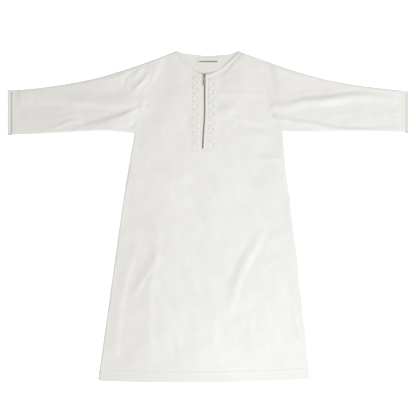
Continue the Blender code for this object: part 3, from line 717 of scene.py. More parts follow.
def body_rows(spacing, skirt_spacing, top_steps, hem_steps):
    """A body panel's rows and their turn, with the numbers of the slit's last row and of the hem's fold."""
    upper = graded(ZIP_SIDE, spacing, top_steps, (0.0,)) * ARMHOLE_SHARE
    lower = ARMHOLE_SHARE + (1.0 - ARMHOLE_SHARE) * graded(SKIRT, skirt_spacing, (0.0,), hem_steps)
    plain = np.concatenate([upper, lower[1:]])
    down, turn = hem_rows(plain, HEM_DEPTH, SKIRT / (1.0 - ARMHOLE_SHARE))
    return down, turn, len(upper) - 1, len(plain) - 1


def narrowed_inside(plan, turn, fold_row):
    """A body panel's plan, its turned-up layer stopping short of the side seams."""
    folded_in = (1.0 - np.cos(turn)) / 2
    plan[..., 0] *= 1.0 - TURN_INSET / abs(plan[0, fold_row, 0]) * folded_in
    return plan


def turn_over(mesh, face_up):
    """Turns a sheet over unless its first face looks the way that it should."""
    mesh.normal_update()
    mesh.faces.ensure_lookup_table()
    if (mesh.faces[0].normal.z > 0.0) != face_up:
        bmesh.ops.reverse_faces(mesh, faces=mesh.faces[:])


def thicken(sheet, name, thickness):
    """Gives a sheet its thickness, on its wrong side."""
    wall = sheet.modifiers.new(name, "SOLIDIFY")
    wall.thickness = thickness * MM
    wall.offset = -1.0


def hem_rows(plain, depth, length):
    """Rows with a turn-up: how far down the panel each is, and the angle turned round the fold."""
    up = np.linspace(0.0, 1.0, round(depth / TURN_UP_SPACING) + 1)[1:] * depth / length
    turn = np.linspace(0.0, math.pi, TURN_STEPS + 1)[1:]
    down = np.concatenate([plain, np.ones(TURN_STEPS), 1.0 - up])
    angle = np.concatenate([np.zeros(len(plain)), turn, np.full(len(up), math.pi)])
    return down, angle


def cloth_sheet(name, places, material, first_face_up, ring=False, gone=None, facing=None):
    """A sheet of cloth on a grid of places by column and row, given its thickness on its wrong side.

    gone(column, row) leaves faces out, and facing(column, row) gives faces the second material."""
    if ring:
        places = np.concatenate([places, places[:1]])
    columns, rows = places.shape[:2]
    mesh = bmesh.new()
    bmesh.ops.create_grid(mesh, x_segments=columns - 1, y_segments=rows - 1, size=0.5)
    seats = [(round((v.co.x + 0.5) * (columns - 1)), round((v.co.y + 0.5) * (rows - 1))) for v in mesh.verts]
    mesh.verts.index_update()
    cells = [tuple(map(min, zip(*(seats[v.index] for v in face.verts)))) for face in mesh.faces]
    for face, cell in zip(mesh.faces, cells):
        face.material_index = int(bool(facing) and facing(*cell))
    removed = [face for face, cell in zip(mesh.faces, cells) if gone and gone(*cell)]
    for vert, (column, row) in zip(mesh.verts, seats):
        vert.co = Vector(places[column, row]) * MM
    turn_over(mesh, first_face_up)
    if removed:
        bmesh.ops.delete(mesh, geom=removed, context="FACES")
    if ring:
        bmesh.ops.remove_doubles(mesh, verts=mesh.verts[:], dist=WELD)
    thing = as_object(name, mesh, material)
    thicken(thing, "cloth", CLOTH)
    return thing


def as_object(name, mesh, material, sharp=SHARP_CLOTH):
    """An object of this mesh, shaded smooth except at sharp edges."""
    data = mesh_data(name, mesh)
    data.materials.append(material)
    data.shade_smooth()
    data.set_sharp_from_angle(angle=math.radians(sharp))
    thing = bpy.data.objects.new(name, data)
    bpy.context.collection.objects.link(thing)
    return thing


def make_front():
    half = graded(CHEST, SPACING, EDGE_STEPS, EDGE_STEPS)
    down, turn, slit_row, fold_row = body_rows(SPACING, SKIRT_SPACING, NECK_STEPS, HEM_STEPS)
    left = front_half(-1, half, down)
    right = front_half(1, half, down)[::-1]
    bridge = np.arange(1, SLIT_COLUMNS)[:, None, None] / SLIT_COLUMNS
    middle = left[-1] + (right[0] - left[-1]) * bridge
    plan = narrowed_inside(np.concatenate([left, middle, right]), turn, fold_row)
    height, from_rim = outer_face(plan)
    height = np.where(turn == 0.0, rolled(height, from_rim, JOIN_TOP, SEAM_ROLL), height)
    y = plan[..., 1] - TURN_RADIUS * np.sin(turn)
    z = height - TURN_RADIUS * (1.0 - np.cos(turn))
    slit_column = len(left) - 1

    def in_slit(column, row):
        return slit_column <= column < slit_column + SLIT_COLUMNS and row < slit_row

    places = np.stack([plan[..., 0], y, z], axis=-1)
    return cloth_sheet("front", places, satin, True, gone=in_slit)


front = make_front()
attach(front, "garment")
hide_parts("front_body")


# Back: one piece of satin that lies flat on the ground under the front, hem turned up inside. Its inner
# face shows in the neck, where the edge is bound and stitched.
BACK_NECK = [(-101.3, 533.5), (-82.0, 527.0), (-56.0, 523.0), (-5.0, 518.6), (47.0, 521.0), (72.0, 524.0),
             (98.7, 533.5)]
BACK_NECK_LINE = smooth_line(BACK_NECK)
BACK_WIDTH = 480.0
BACK_SPACING = 7.0
BACK_SKIRT_SPACING = 9.0
BACK_EDGE_STEPS = (0.0, 1.5, 4.0)
BACK_NECK_STEPS = (0.0, 1.0, 2.5, 5.0, 7.5, 9.0, 11.0)
BACK_HEM_STEPS = (0.0, 2.0, 5.0, 10.0, 20.0, 30.0, 40.0)
SHOULDER_SHARE = 0.25  # of the back's upper edge, for each shoulder
BACK_BULGE, BACK_BULGE_LOW = 1.6, 0.3  # the inner face lifts a little towards the front neckline
BULGE_FADE, BULGE_LOW_FADE = (6.0, 60.0), (14.0, 48.0)
BULGE_RIM = 14.0
UNDER_SLIDER = 0.8  # how much of the bulge gives way to the slider
SLIDER_SIDE, SLIDER_END = (5.0, 10.0), (3.0, 16.0)


def back_top(u):
    """The back's upper edge, along one shoulder, the back neck and the other shoulder."""
    left = along(LINES["shoulder", -1], u / SHOULDER_SHARE)
    right = along(LINES["shoulder", 1], (1.0 - u) / SHOULDER_SHARE)
    neck = along(BACK_NECK_LINE, (u - SHOULDER_SHARE) / (1.0 - 2 * SHOULDER_SHARE))
    at_left, at_right = (u <= SHOULDER_SHARE)[:, None], (u >= 1.0 - SHOULDER_SHARE)[:, None]
    return np.where(at_left, left, np.where(at_right, right, neck))


def back_lift(points):
    """How far the back lifts off the ground, clear of the zip slider's lower plate."""
    from_neckline = nearest(NECKLINE, points)[0]
    from_zip = np.abs(points[..., 0] - zip_x(points[..., 1]))
    under_slider = fade(from_zip, *SLIDER_SIDE) * fade(points[..., 1] - NECK_LOW_Y, *SLIDER_END)
    lift = BACK_BULGE + BACK_BULGE_LOW * fade(from_zip, *BULGE_LOW_FADE)
    lift = lift * (1.0 - UNDER_SLIDER * under_slider)
    at_rim = fade(from_seams(points, RIM_LINES), 0.0, BULGE_RIM)
    return lift * fade(from_neckline, *BULGE_FADE) * (1.0 - at_rim)


def make_back():
    across = graded(BACK_WIDTH, BACK_SPACING, BACK_EDGE_STEPS, BACK_EDGE_STEPS)
    down, turn, _, fold_row = body_rows(BACK_SPACING, BACK_SKIRT_SPACING, BACK_NECK_STEPS, BACK_HEM_STEPS)
    left, right = body_edge(-1), body_edge(1)
    hem = hem_points(left(END)[0, 0], right(END)[0, 0])
    plan = narrowed_inside(patch(left, right, back_top, hem, across, down), turn, fold_row)
    y = plan[..., 1] - TURN_RADIUS * np.sin(turn)
    z = back_lift(plan) + TURN_RADIUS * (1.0 - np.cos(turn))
    places = np.stack([plan[..., 0], y, z], axis=-1)
    return cloth_sheet("back", places, satin, False)


back = make_back()
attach(back, "garment")
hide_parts("back_body")


# Sleeves: each is one piece of satin closed by its underarm seam and pressed flat, its top edge a fold,
# sewn into the armhole. The cuff is turned up inside and stitched, and its upper layer lies a little
# further back than the lower one, so the mouth shows.
SLEEVE_WIDTH = 190.0
SLEEVE_LENGTH = 430.0
SLEEVE_EDGE_STEPS = (0.0, 0.12, 0.4, 0.9, 1.6, 2.6, 4.0)
ARMHOLE_STEPS = (0.0, 0.6, 1.4, 2.4, 4.0, 6.0)
CUFF_STEPS = (0.0, 0.8, 1.8, 3.0, 5.0, 7.0, 8.6, 10.0, 11.2, 12.4, 14.0, 16.5, 19.0, 21.0, 22.2, 23.4, 26.0,
              29.0)
OVER_SPACING, UNDER_SPACING = 3.7, 9.0
SLEEVE_ROLL = 2.4
MOUTH = {-1: 15.5, 1: 13.0}
MOUTH_CORNER = 7.0
MOUTH_POWER, SIDE_POWER = 6, 12  # how late the upper layer draws back, and how near its sides it narrows
MOUTH_LIFT = {-1: 2.2, 1: 2.6}  # of the lower layer where it shows
# The lower layer's turned-up hem, where it shows in the sleeve's mouth, is the same satin coloured darker:
# painted shade inside the mouth. It is also rougher and has less sheen.
FACING_WHITE_PAINTED_SHADE, FACING_DARK_PAINTED_SHADE = (0.765, 0.755, 0.722), (0.73, 0.72, 0.687)
facing_painted_shade_cloth = woven("cuff facing painted shade", FACING_WHITE_PAINTED_SHADE, FACING_DARK_PAINTED_SHADE, 0.6, 0.1, SLEEVE_WARP, 0.03, 0.3)


def sleeve_plan(side, t, s):
    """The plan of a sleeve, from its top edge to its bottom by column, from armhole to cuff by row."""
    cuff = np.array([-side * TURN_RADIUS, 0.0])

    def edge_of(name):
        return lambda share: along(LINES[name, side], share) + np.outer(share, cuff)

    def armhole(share):
        return along(LINES["armhole", side], share)

    def cuff_line(share):
        top, bottom = edge_of("sleeve top")(END), edge_of("sleeve bottom")(END)
        return top + (bottom - top) * share[:, None]

    return patch(edge_of("sleeve top"), edge_of("sleeve bottom"), armhole, cuff_line, t, s)


def side_height(plan):
    """Height of a sleeve's side edges, half way up its layers."""
    return SEAM_STACK / 2 + (HEM_STACK - SEAM_STACK) / 2 * cuff_lift(plan[..., 0])


def make_sleeve(side, name):
    over = graded(SLEEVE_WIDTH, OVER_SPACING, SLEEVE_EDGE_STEPS, SLEEVE_EDGE_STEPS)
    under = graded(SLEEVE_WIDTH, UNDER_SPACING, SLEEVE_EDGE_STEPS, SLEEVE_EDGE_STEPS)[::-1][1:-1]
    plain = graded(SLEEVE_LENGTH, SPACING, ARMHOLE_STEPS, CUFF_STEPS)
    down, turn = hem_rows(plain, CUFF_DEPTH, SLEEVE_LENGTH)
    upper = sleeve_plan(side, over, down)
    mouth = np.minimum(np.minimum(over, 1.0 - over) * SLEEVE_WIDTH / MOUTH_CORNER, 1.0) ** 0.5
    upper[..., 0] -= side * MOUTH[side] * mouth[:, None] * down**MOUTH_POWER
    lower = sleeve_plan(side, under, down)
    upper_height, upper_rim = outer_face(upper)
    _, lower_rim = outer_face(lower)
    upper_z = rolled(upper_height, upper_rim, side_height(upper), SLEEVE_ROLL)
    lower_z = rolled(np.zeros(lower.shape[:-1]), lower_rim, side_height(lower), SLEEVE_ROLL)
    lower_z += MOUTH_LIFT[side] * fade(CUFF_X - np.abs(lower[..., 0]), 0.0, MOUTH[side] - 1.0)
    inset = TURN_RADIUS * (1.0 - np.cos(turn))
    plan = np.concatenate([upper, lower])
    z = np.concatenate([upper_z - inset, lower_z + inset])
    x = plan[..., 0] + side * TURN_RADIUS * np.sin(turn)
    towards = np.clip(1.0 - 2.0 * np.concatenate([over, under]), -1.0, 1.0)
    sideways = np.sign(towards) * np.abs(towards) ** SIDE_POWER
    y = plan[..., 1] - inset * sideways[:, None]

    # Faces of the lower layer's turned-up hem, which take the darker material of painted shade
    def facing(column, row):
        return column >= len(over) and row > len(plain) + TURN_STEPS // 2

    sleeve = cloth_sheet(name, np.stack([x, y, z], axis=-1), sleeve_satin, True, ring=True, facing=facing)
    sleeve.data.materials.append(facing_painted_shade_cloth)
    return sleeve


for side, word in SIDES:
    sleeve = make_sleeve(side, f"{word}_sleeve")
    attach(sleeve, "garment")
    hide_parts(f"sleeve_{word}")

# Sewing: white thread in a row of lock stitches round the hem, the cuffs, the neckline and both sides of the
# zip. Each stitch is a slim strand that sinks into the cloth at its two ends.
THREAD_WHITE = (0.84, 0.832, 0.80)
STITCH_PITCH = 3.0
STITCH_SEWN = 0.74
STITCH_WIDTH = 0.55
STITCH_FLAT = 0.8
STITCH_SINK = 0.05
UNDER_STITCH_Z = 0.05
STRAND_BLUNT = 0.65
STRAND_SIDES, STRAND_RINGS = 6, 5
THREAD_SHEEN = 0.2
TWIST_SCALE, TWIST_DEPTH, TWIST_STRENGTH = 2600.0, 0.05, 0.6
HEM_SEWN = (-341.5, 321.5)
ZIP_SEWN_LOW = SLIT_END_Y - 4.0
NECK_SEWN_GAP = 9.0
BACK_NECK_BAND = 9.0
CUFF_STITCH_UNDER = CUFF_DEPTH - 1.6
CUFF_SEWN = (0.955, 0.945)  # the row's ends, as shares of the sleeve's top and bottom edges
CUFF_SEWN_INSET = 2.5


def thread_material(name, colour, roughness):
    """Spun thread: a fine twist and a soft gloss."""
    made, shader = new_material(name, colour, roughness)
    shader.inputs["Sheen Weight"].default_value = THREAD_SHEEN
    place = add(made, "ShaderNodeTexCoord")
    twist = add(made, "ShaderNodeTexNoise", scale=TWIST_SCALE, detail=1.0)
    bump = add(made, "ShaderNodeBump", strength=TWIST_STRENGTH, distance=TWIST_DEPTH * MM)
    wire(place, "Object", twist, "Vector")
    wire(twist, "Fac", bump, "Height")
    wire(bump, "Normal", shader, "Normal")
    return made


thread = thread_material("sewing thread", THREAD_WHITE, 0.5)


def beside(line, distance):
    """The polyline that runs beside another, to its left."""
    along_it = np.gradient(line, axis=0)
    along_it /= np.hypot(along_it[:, 0], along_it[:, 1])[:, None]
    return line + distance * np.stack([-along_it[:, 1], along_it[:, 0]], axis=-1)


def stitch_ends(line, pitch=STITCH_PITCH, sewn=STITCH_SEWN):
    """Both ends of each stitch in a row along a polyline."""
    count = round(span_lengths(line).sum() / pitch)
    starts = (np.arange(count) + (1.0 - sewn) / 2) / count
    return np.stack([along(line, starts), along(line, starts + sewn / count)], axis=1)


def strand_form():
    """A blunt strand along X of length, width and thickness 1, which is then copied along a row."""
    mesh = bmesh.new()
    along_x = Matrix.Rotation(math.pi / 2, 4, "Y")
    bmesh.ops.create_uvsphere(mesh, u_segments=STRAND_SIDES, v_segments=STRAND_RINGS, radius=0.5,
                              matrix=along_x)
    for vert in mesh.verts:
        reach = 2 * math.hypot(vert.co.y, vert.co.z)
        if reach > 0.01:
            vert.co.yz *= reach**-STRAND_BLUNT
    return mesh_data("strand", mesh)


def copies(form, places):
    """A mesh of copies of a form, one for each matrix."""
    mesh = bmesh.new()
    for place in places:
        copy = form.copy()
        copy.transform(place)
        mesh.from_mesh(copy)
        bpy.data.meshes.remove(copy)
    bpy.data.meshes.remove(form)
    return mesh


def strands(name, ends, heights, width, thickness, material):
    """Many strands as one mesh, each between its two ends, whose heights are given."""
    places = []
    for (start, end), (start_z, end_z), wide in zip(ends, heights, np.broadcast_to(width, len(ends))):
        start, end = Vector((*start, start_z)) * MM, Vector((*end, end_z)) * MM
        run = end - start
        size = Matrix.Diagonal((run.length, wide * MM, thickness * MM, 1.0))
        turn = run.to_track_quat("X", "Z").to_matrix().to_4x4()
        places.append(Matrix.Translation((start + end) / 2) @ turn @ size)
    return as_object(name, copies(strand_form(), places), material)


def on_front(ends):
    """Height of the upper face under each end of the strands."""
    return outer_face(ends)[0]


def zip_row(side):
    top = float(neckline_y(zip_x(NECK_LOW_Y) + side * ZIP_STITCH)) - NECK_STITCH
    y = np.linspace(top, ZIP_SEWN_LOW, 60)
    return np.stack([zip_x(y) + side * ZIP_STITCH, y], axis=-1)


def cuff_row(side, from_end):
    x = side * (CUFF_X - from_end)
    top = along(LINES["sleeve top", side], CUFF_SEWN[0])[1]
    bottom = along(LINES["sleeve bottom", side], CUFF_SEWN[1])[1]
    return np.array([(x, top - CUFF_SEWN_INSET), (x, bottom + CUFF_SEWN_INSET)])


def sewn_row(name, line, heights=None):
    """A row of stitches along a line, on the front or at given heights."""
    ends = stitch_ends(line)
    heights = on_front(ends) - STITCH_SINK if heights is None else np.broadcast_to(heights, ends.shape[:2])
    row = strands(name, ends, heights, STITCH_WIDTH, STITCH_WIDTH * STITCH_FLAT, thread)
    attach(row, "garment")


hem_xs = np.linspace(*HEM_SEWN, 120)
hem_row = np.stack([hem_xs, hem_y(hem_xs) + HEM_STITCH], axis=-1)
neck_left = NECKLINE[NECKLINE[:, 0] < NECK_LOW_X - NECK_SEWN_GAP]
neck_right = NECKLINE[NECKLINE[:, 0] > NECK_LOW_X + NECK_SEWN_GAP]
slit_end_x = zip_x(SLIT_END_Y)
zip_end_row = np.array([(slit_end_x + side * ZIP_STITCH, ZIP_SEWN_LOW) for side, _ in SIDES])
back_neck_row = beside(BACK_NECK_LINE, -BACK_NECK_BAND)[4:-4]

sewn_row("hem_stitches", hem_row)
sewn_row("neck_stitches_left", beside(neck_left, -NECK_STITCH)[2:])
sewn_row("neck_stitches_right", beside(neck_right, -NECK_STITCH)[:-2])
for side, word in SIDES:
    sewn_row(f"zip_stitches_{word}", zip_row(side))
sewn_row("zip_stitches_end", zip_end_row)
sewn_row("back_hem_stitches", hem_row, UNDER_STITCH_Z)
sewn_row("back_neck_stitches", back_neck_row, CLOTH + back_lift(stitch_ends(back_neck_row)))
for side, word in SIDES:
    sewn_row(f"{word}_cuff_stitches", cuff_row(side, CUFF_STITCH))
    sewn_row(f"{word}_cuff_stitches_under", cuff_row(side, CUFF_STITCH_UNDER), UNDER_STITCH_Z)


# Embroidery: a band down each side of the zip, white on white, worked by machine through the front. Each has
# a winding stem with padded satin-stitch leaves on alternate sides, between borders of short bars, and the
# borders close under the end of the zip.
BAND_CENTRES = (-38.8, 12.4)
BAND_WIDTH = 20.6
BAND_TOP_GAP = 13.5
BAND_END_Y = 226.0
BORDER_END_Y = 210.5
REPEAT = 24.6
STEM_SWING = 2.6
STEM_STITCH, STEM_SEWN = 2.2, 1.25
LEAVES = [  # side of the stem, distance out, place along it, length, width
    (1, 3.9, -1.0, 12.6, 5.4),
    (-1, 6.4, 0.6, 7.0, 3.8),
]
LEAF_STITCHES = 15
LEAF_REACH = 0.46  # of its length, either way from its middle
LEAF_LEAN = math.radians(48.0)
LEAF_SLANT = 0.35
LEAF_POINT, LEAF_BELLY, LEAF_TIP = 1.7, 0.8, 0.25
SATIN_STITCH_WIDTH = 0.85
BORDER_PITCH = 0.8
BORDER_SLANT = 0.3
BORDER_WIDTHS = (1.9, 1.5)
CORNER_RADII = (6.0, 21.0)  # at the left and the right
INNER_RADII = (4.0, 4.0)
INNER_RISE = 5.0
FLOSS_WHITE = (0.87, 0.862, 0.838)


def leaf_ends(centre, lean, length, width):
    """The stitches that lie across a leaf, from its foot to its tip; lean is its direction."""
    axis = np.array([math.cos(lean), math.sin(lean)])
    across = np.array([-axis[1], axis[0]])
    made = []
    for step in np.linspace(-LEAF_REACH, LEAF_REACH, LEAF_STITCHES):
        reach = width / 2 * (1.0 - (2 * abs(step)) ** LEAF_POINT) ** LEAF_BELLY + LEAF_TIP
        middle = np.asarray(centre) + axis * length * step
        slant = axis * reach * LEAF_SLANT
        made.append([middle - across * reach - slant, middle + across * reach + slant])
    return made


def vine(centre_x, top_y, end_y):
    """The stem and the leaves of one band."""
    count = round((top_y - end_y) / (REPEAT / 2))
    pitch = (top_y - end_y) / count
    y = np.linspace(top_y, end_y, count * 10)
    phase = (top_y - y) / pitch * math.pi
    stem = np.stack([centre_x + STEM_SWING * np.sin(phase), y], axis=-1)
    leaves = []
    for index in range(count):
        side = 1 if index % 2 else -1
        foot_y = top_y - (index + 0.5) * pitch
        for hand, out, up, length, width in LEAVES:
            away = side * hand
            foot = (centre_x + away * out, foot_y + up)
            leaves += leaf_ends(foot, -math.pi / 2 + away * LEAF_LEAN, length, width)
    return stem, leaves


def border(inner):
    """A border's line: down the left band, across under the zip and up the right band."""
    half = BAND_WIDTH / 2
    left = BAND_CENTRES[0] + (half if inner else -half)
    right = BAND_CENTRES[1] + (-half if inner else half)
    low = BORDER_END_Y + (INNER_RISE if inner else 0.0)
    left_radius, right_radius = INNER_RADII if inner else CORNER_RADII
    points = [(left, float(neckline_y(np.array(left))) - BAND_TOP_GAP)]
    for angle in np.linspace(0.0, math.pi / 2, 9):
        up = low + left_radius * (1 - math.sin(angle))
        points.append((left + left_radius * (1 - math.cos(angle)), up))
    for angle in np.linspace(0.0, math.pi / 2, 9):
        up = low + right_radius * (1 - math.cos(angle))
        points.append((right - right_radius * (1 - math.sin(angle)), up))
    points.append((right, float(neckline_y(np.array(right))) - BAND_TOP_GAP))
    return np.array(points)


def across_line(line, width):
    """Close stitches that lie across a line and together make a raised cord."""
    side_a, side_b = beside(line, width / 2), beside(line, -width / 2)
    count = round(span_lengths(line).sum() / BORDER_PITCH)
    shares = (np.arange(count) + 0.5) / count
    return np.stack([along(side_a, shares), along(side_b, shares + BORDER_SLANT / count)], axis=1)


floss = thread_material("embroidery floss", FLOSS_WHITE, 0.42)
stem_ends, leaf_stitches = [], []
for band_centre in BAND_CENTRES:
    band_top = float(neckline_y(np.array(band_centre))) - BAND_TOP_GAP - 2.0
    band_stem, band_leaves = vine(band_centre, band_top, BAND_END_Y)
    stem_ends.append(stitch_ends(band_stem, STEM_STITCH, STEM_SEWN))
    leaf_stitches += band_leaves
bar_ends = [across_line(border(inner), width) for inner, width in enumerate(BORDER_WIDTHS)]
EMBROIDERY = [  # name, stitches, lift off the cloth, width, thickness
    ("embroidery_leaves", np.array(leaf_stitches), 0.12, SATIN_STITCH_WIDTH, 1.0),
    ("embroidery_stems", np.concatenate(stem_ends), 0.1, 1.1, 0.9),
    ("embroidery_borders", np.concatenate(bar_ends), 0.1, SATIN_STITCH_WIDTH, 0.9),
]
for name, ends, lift, width, thickness in EMBROIDERY:
    piece = strands(name, ends, on_front(ends) + lift, width, thickness, floss)
    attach(piece, "garment")


# Zip tapes: woven ribbon under each edge of the slit, with a cord along the edge that the teeth grip.
TAPE_TOP = PLACKET_TOP - SOLID_CLOTH - SEAM_GAP
TAPE_INNER, TAPE_OUTER = 1.3, 16.5
TAPE_LOW = SLIT_END_Y - 6.0
TAPE_THICKNESS = 0.8
TAPE_COLOUR, TAPE_SHADE = (0.76, 0.75, 0.72), (0.72, 0.71, 0.68)
TAPE_RIBS = (0.8, 0.8, math.pi / 4)
CORD_HEIGHT, CORD_FADE = 0.4, (1.6, 3.2)
TAPE_GRID = (20, 80)
TAPE_SINK = 0.1
tape_weave = woven("zip tape", TAPE_COLOUR, TAPE_SHADE, 0.8, 0.1, TAPE_RIBS, 0.12, 0.05)


def make_tape(side, name):
    mesh = bmesh.new()
    bmesh.ops.create_grid(mesh, x_segments=TAPE_GRID[0], y_segments=TAPE_GRID[1], size=0.5)
    for vert in mesh.verts:
        across, down = vert.co.x + 0.5, vert.co.y + 0.5
        y = TAPE_LOW + (NECK_LOW_Y - TAPE_LOW) * down
        x = zip_x(y) + side * (TAPE_INNER + (TAPE_OUTER - TAPE_INNER) * across)
        cord = CORD_HEIGHT * fade((TAPE_OUTER - TAPE_INNER) * across, *CORD_FADE)
        vert.co = Vector((x, y, TAPE_TOP - TAPE_SINK + cord)) * MM
    turn_over(mesh, True)
    tape = as_object(name, mesh, tape_weave)
    thicken(tape, "ribbon", TAPE_THICKNESS)
    return tape


for side, word in SIDES:
    tape = make_tape(side, f"{word}_zip_tape")
    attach(tape, "garment")
    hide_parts(f"zip_tape_{word}")


# Zip teeth and bottom stop: stamped metal teeth clamped on the tapes' cords, those of one side between those
# of the other, and a bent clip under the last of them. The metal is a worn warm nickel.
TOOTH_PITCH = 2.5
TOOTH_SIZE = (3.1, 1.3, 2.6)
TOOTH_BEVEL = 0.22
TOOTH_REACH = 2.6  # of its back end from the zip's middle
TOOTH_SINK = 0.15
HEAD_FROM, HEAD_NARROWING = 0.25, 0.9
DIMPLE_LENGTH, DIMPLE_WIDTH, DIMPLE_PROUD, DIMPLE_BEVEL = 1.1, 0.7, 0.35, 0.15
DIMPLE_X = 0.28
CHAIN_TOP = 5.4
CHAIN_LOW_Y = SLIT_END_Y + 3.7
CHAIN_HIGH_Y = 453.0
FIRST_TOOTH = 0.7
STOP_SIZE = (5.6, 2.8, 2.6)
STOP_BEVEL = 0.5
STOP_DROP = 1.4
STOP_LOW_Y = SLIT_END_Y + 0.6
STOP_RIB = (0.9, STOP_SIZE[1] * 0.8, 0.5)
STOP_RIB_DROP = 0.1
STOP_RIB_AWAY, STOP_RIB_BEVEL = 1.7, 0.2
NICKEL = (0.44, 0.385, 0.30)
TARNISH, SHINE = 0.62, 1.15  # as shares of the metal's colour
METAL_FROM, METAL_TO = 0.3, 0.65
METAL_GLOSS_BELOW, METAL_GLOSS_ABOVE = 0.1, 0.18
SCRATCH_SCALE = (900.0, 9000.0, 900.0)
SCRATCH_DEPTH = 0.02
PATCH_SCALE = 600.0
SHARP_METAL = 35.0


def metal_material(name, colour, roughness, scratch_turn=0.0):
    """Worn metal plating: fine scratches one way, dull and bright patches, a little tarnish."""
    made, shader = new_material(name, colour, roughness, 1.0)
    place = add(made, "ShaderNodeTexCoord")
    stretched = add(made, "ShaderNodeMapping", scale=SCRATCH_SCALE, rotation=(0.0, 0.0, scratch_turn))
    scratches = add(made, "ShaderNodeTexNoise", scale=1.0, detail=3.0)
    patches = add(made, "ShaderNodeTexNoise", scale=PATCH_SCALE, detail=3.0)
    dull = [TARNISH * part for part in colour]
    bright = [min(SHINE * part, 1.0) for part in colour]
    tarnish = ramp(made, METAL_FROM, dull, METAL_TO, bright)
    gloss = add(made, "ShaderNodeMapRange", to_min=roughness - METAL_GLOSS_BELOW,
                to_max=roughness + METAL_GLOSS_ABOVE)
    bump = add(made, "ShaderNodeBump", strength=0.5, distance=SCRATCH_DEPTH * MM)
    wire(place, "Object", stretched, "Vector")
    wire(stretched, "Vector", scratches, "Vector")
    wire(place, "Object", patches, "Vector")
    wire(patches, "Fac", tarnish, "Fac")
    wire(tarnish, "Color", shader, "Base Color")
    wire(patches, "Fac", gloss, "Value")
    wire(gloss, "Result", shader, "Roughness")
    wire(scratches, "Fac", bump, "Height")
    wire(bump, "Normal", shader, "Normal")
    return made


nickel = metal_material("worn nickel", NICKEL, 0.34)


def rounded(mesh, edges, radius, segments):
    bmesh.ops.bevel(mesh, geom=edges, offset=radius * MM, offset_type="OFFSET", segments=segments,
                    profile=0.5, affect="EDGES", material=-1, clamp_overlap=True)


def bevelled_box(mesh, size, centre, bevel, segments=2):
    """A box with rounded edges, added to a mesh."""
    before = set(mesh.verts)
    placed = Matrix.Translation(Vector(centre) * MM) @ Matrix.Diagonal((*[part * MM for part in size], 1.0))
    bmesh.ops.create_cube(mesh, size=1.0, matrix=placed)
    rounded(mesh, [edge for edge in mesh.edges if edge.verts[0] not in before], bevel, segments)


def tooth_form():
    """One tooth that points to +X from its tape, with a narrower head and the dimple stamped in it."""
    mesh = bmesh.new()
    length, width, height = TOOTH_SIZE
    bevelled_box(mesh, TOOTH_SIZE, (0.0, 0.0, 0.0), TOOTH_BEVEL)
    for vert in mesh.verts:
        if vert.co.x > length * HEAD_FROM * MM:
            vert.co.y *= HEAD_NARROWING
    dimple = (DIMPLE_LENGTH, width * DIMPLE_WIDTH, height + DIMPLE_PROUD)
    bevelled_box(mesh, dimple, (length * DIMPLE_X, 0.0, 0.0), DIMPLE_BEVEL, 1)
    return mesh_data("tooth", mesh)


def make_teeth():
    places = []
    count = int((CHAIN_HIGH_Y - CHAIN_LOW_Y) / (TOOTH_PITCH / 2))
    offset = Matrix.Translation(Vector((-TOOTH_REACH + TOOTH_SIZE[0] / 2, 0.0, 0.0)) * MM)
    for index in range(count):
        y = CHAIN_LOW_Y + FIRST_TOOTH + index * TOOTH_PITCH / 2
        slope = (zip_x(y + 1.0) - zip_x(y - 1.0)) / 2.0
        turn = Matrix.Rotation(-math.atan(slope) + (math.pi if index % 2 else 0.0), 4, "Z")
        z = CHAIN_TOP - TOOTH_SINK - TOOTH_SIZE[2] / 2
        places.append(Matrix.Translation(Vector((zip_x(y), y, z)) * MM) @ turn @ offset)
    return as_object("zip_teeth", copies(tooth_form(), places), nickel, sharp=SHARP_METAL)


def make_stop():
    mesh = bmesh.new()
    y = STOP_LOW_Y + STOP_SIZE[1] / 2
    x = zip_x(y)
    bevelled_box(mesh, STOP_SIZE, (x, y, CHAIN_TOP - STOP_DROP), STOP_BEVEL, 3)
    for side, _ in SIDES:
        rib = (x + side * STOP_RIB_AWAY, y, CHAIN_TOP - STOP_RIB_DROP)
        bevelled_box(mesh, STOP_RIB, rib, STOP_RIB_BEVEL)
    return as_object("zip_bottom_stop", mesh, nickel, sharp=SHARP_METAL)


teeth = make_teeth()
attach(teeth, "garment")
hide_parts("zip_chain")
stop = make_stop()
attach(stop, "garment")
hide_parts("zip_stop")


# Zip slider: die-cast, two shield-shaped plates with side lips round the teeth, a post at the nose and the
# loop that holds the pull tab.
SLIDER_Y = 454.2
SLIDER_LENGTH, SLIDER_WIDTH = 9.2, 7.2
PLATE_LOW = CHAIN_TOP + SEAM_GAP
PLATE_THICKNESS = 1.2
PLATE_BEVEL = 0.4
LOWER_PLATE = (1.3, 2.3)
SHIELD_ACROSS, SHIELD_DOWN = 0.5, 0.75  # powers that square a circle up
SHIELD_NARROW = 0.86  # at its lower end, of its width at the nose
POST_SIZE = (2.2, 2.4, PLATE_LOW - 2.0)
POST_IN, POST_FOOT, POST_BEVEL = 1.9, 2.2, 0.2
LIP_SIZE = (0.7, 5.6, 1.3)
LIP_AWAY, LIP_DOWN, LIP_DROP, LIP_BEVEL = 3.0, 1.1, 0.35, 0.25
HINGE_Y = 453.4
HINGE_Z = PLATE_LOW + PLATE_THICKNESS + 1.0
LOOP_RADIUS = 1.65
LOOP_WIDTH, LOOP_THICKNESS = 1.6, 0.8
LOOP_FOOT = 1.3
LOOP_SIDES, LOOP_STEPS = 12, 14
SHIELD_SIDES = 48
CAST_NICKEL = (0.34, 0.29, 0.22)
cast_nickel = metal_material("cast nickel", CAST_NICKEL, 0.38, math.pi / 2)


def drawn_up(mesh, faces, rise, **options):
    """Draws faces out of a mesh, and the vertices that have moved."""
    grown = bmesh.ops.extrude_face_region(mesh, geom=faces, **options)
    moved = [part for part in grown["geom"] if isinstance(part, bmesh.types.BMVert)]
    bmesh.ops.translate(mesh, vec=(0.0, 0.0, rise * MM), verts=moved)
    return moved


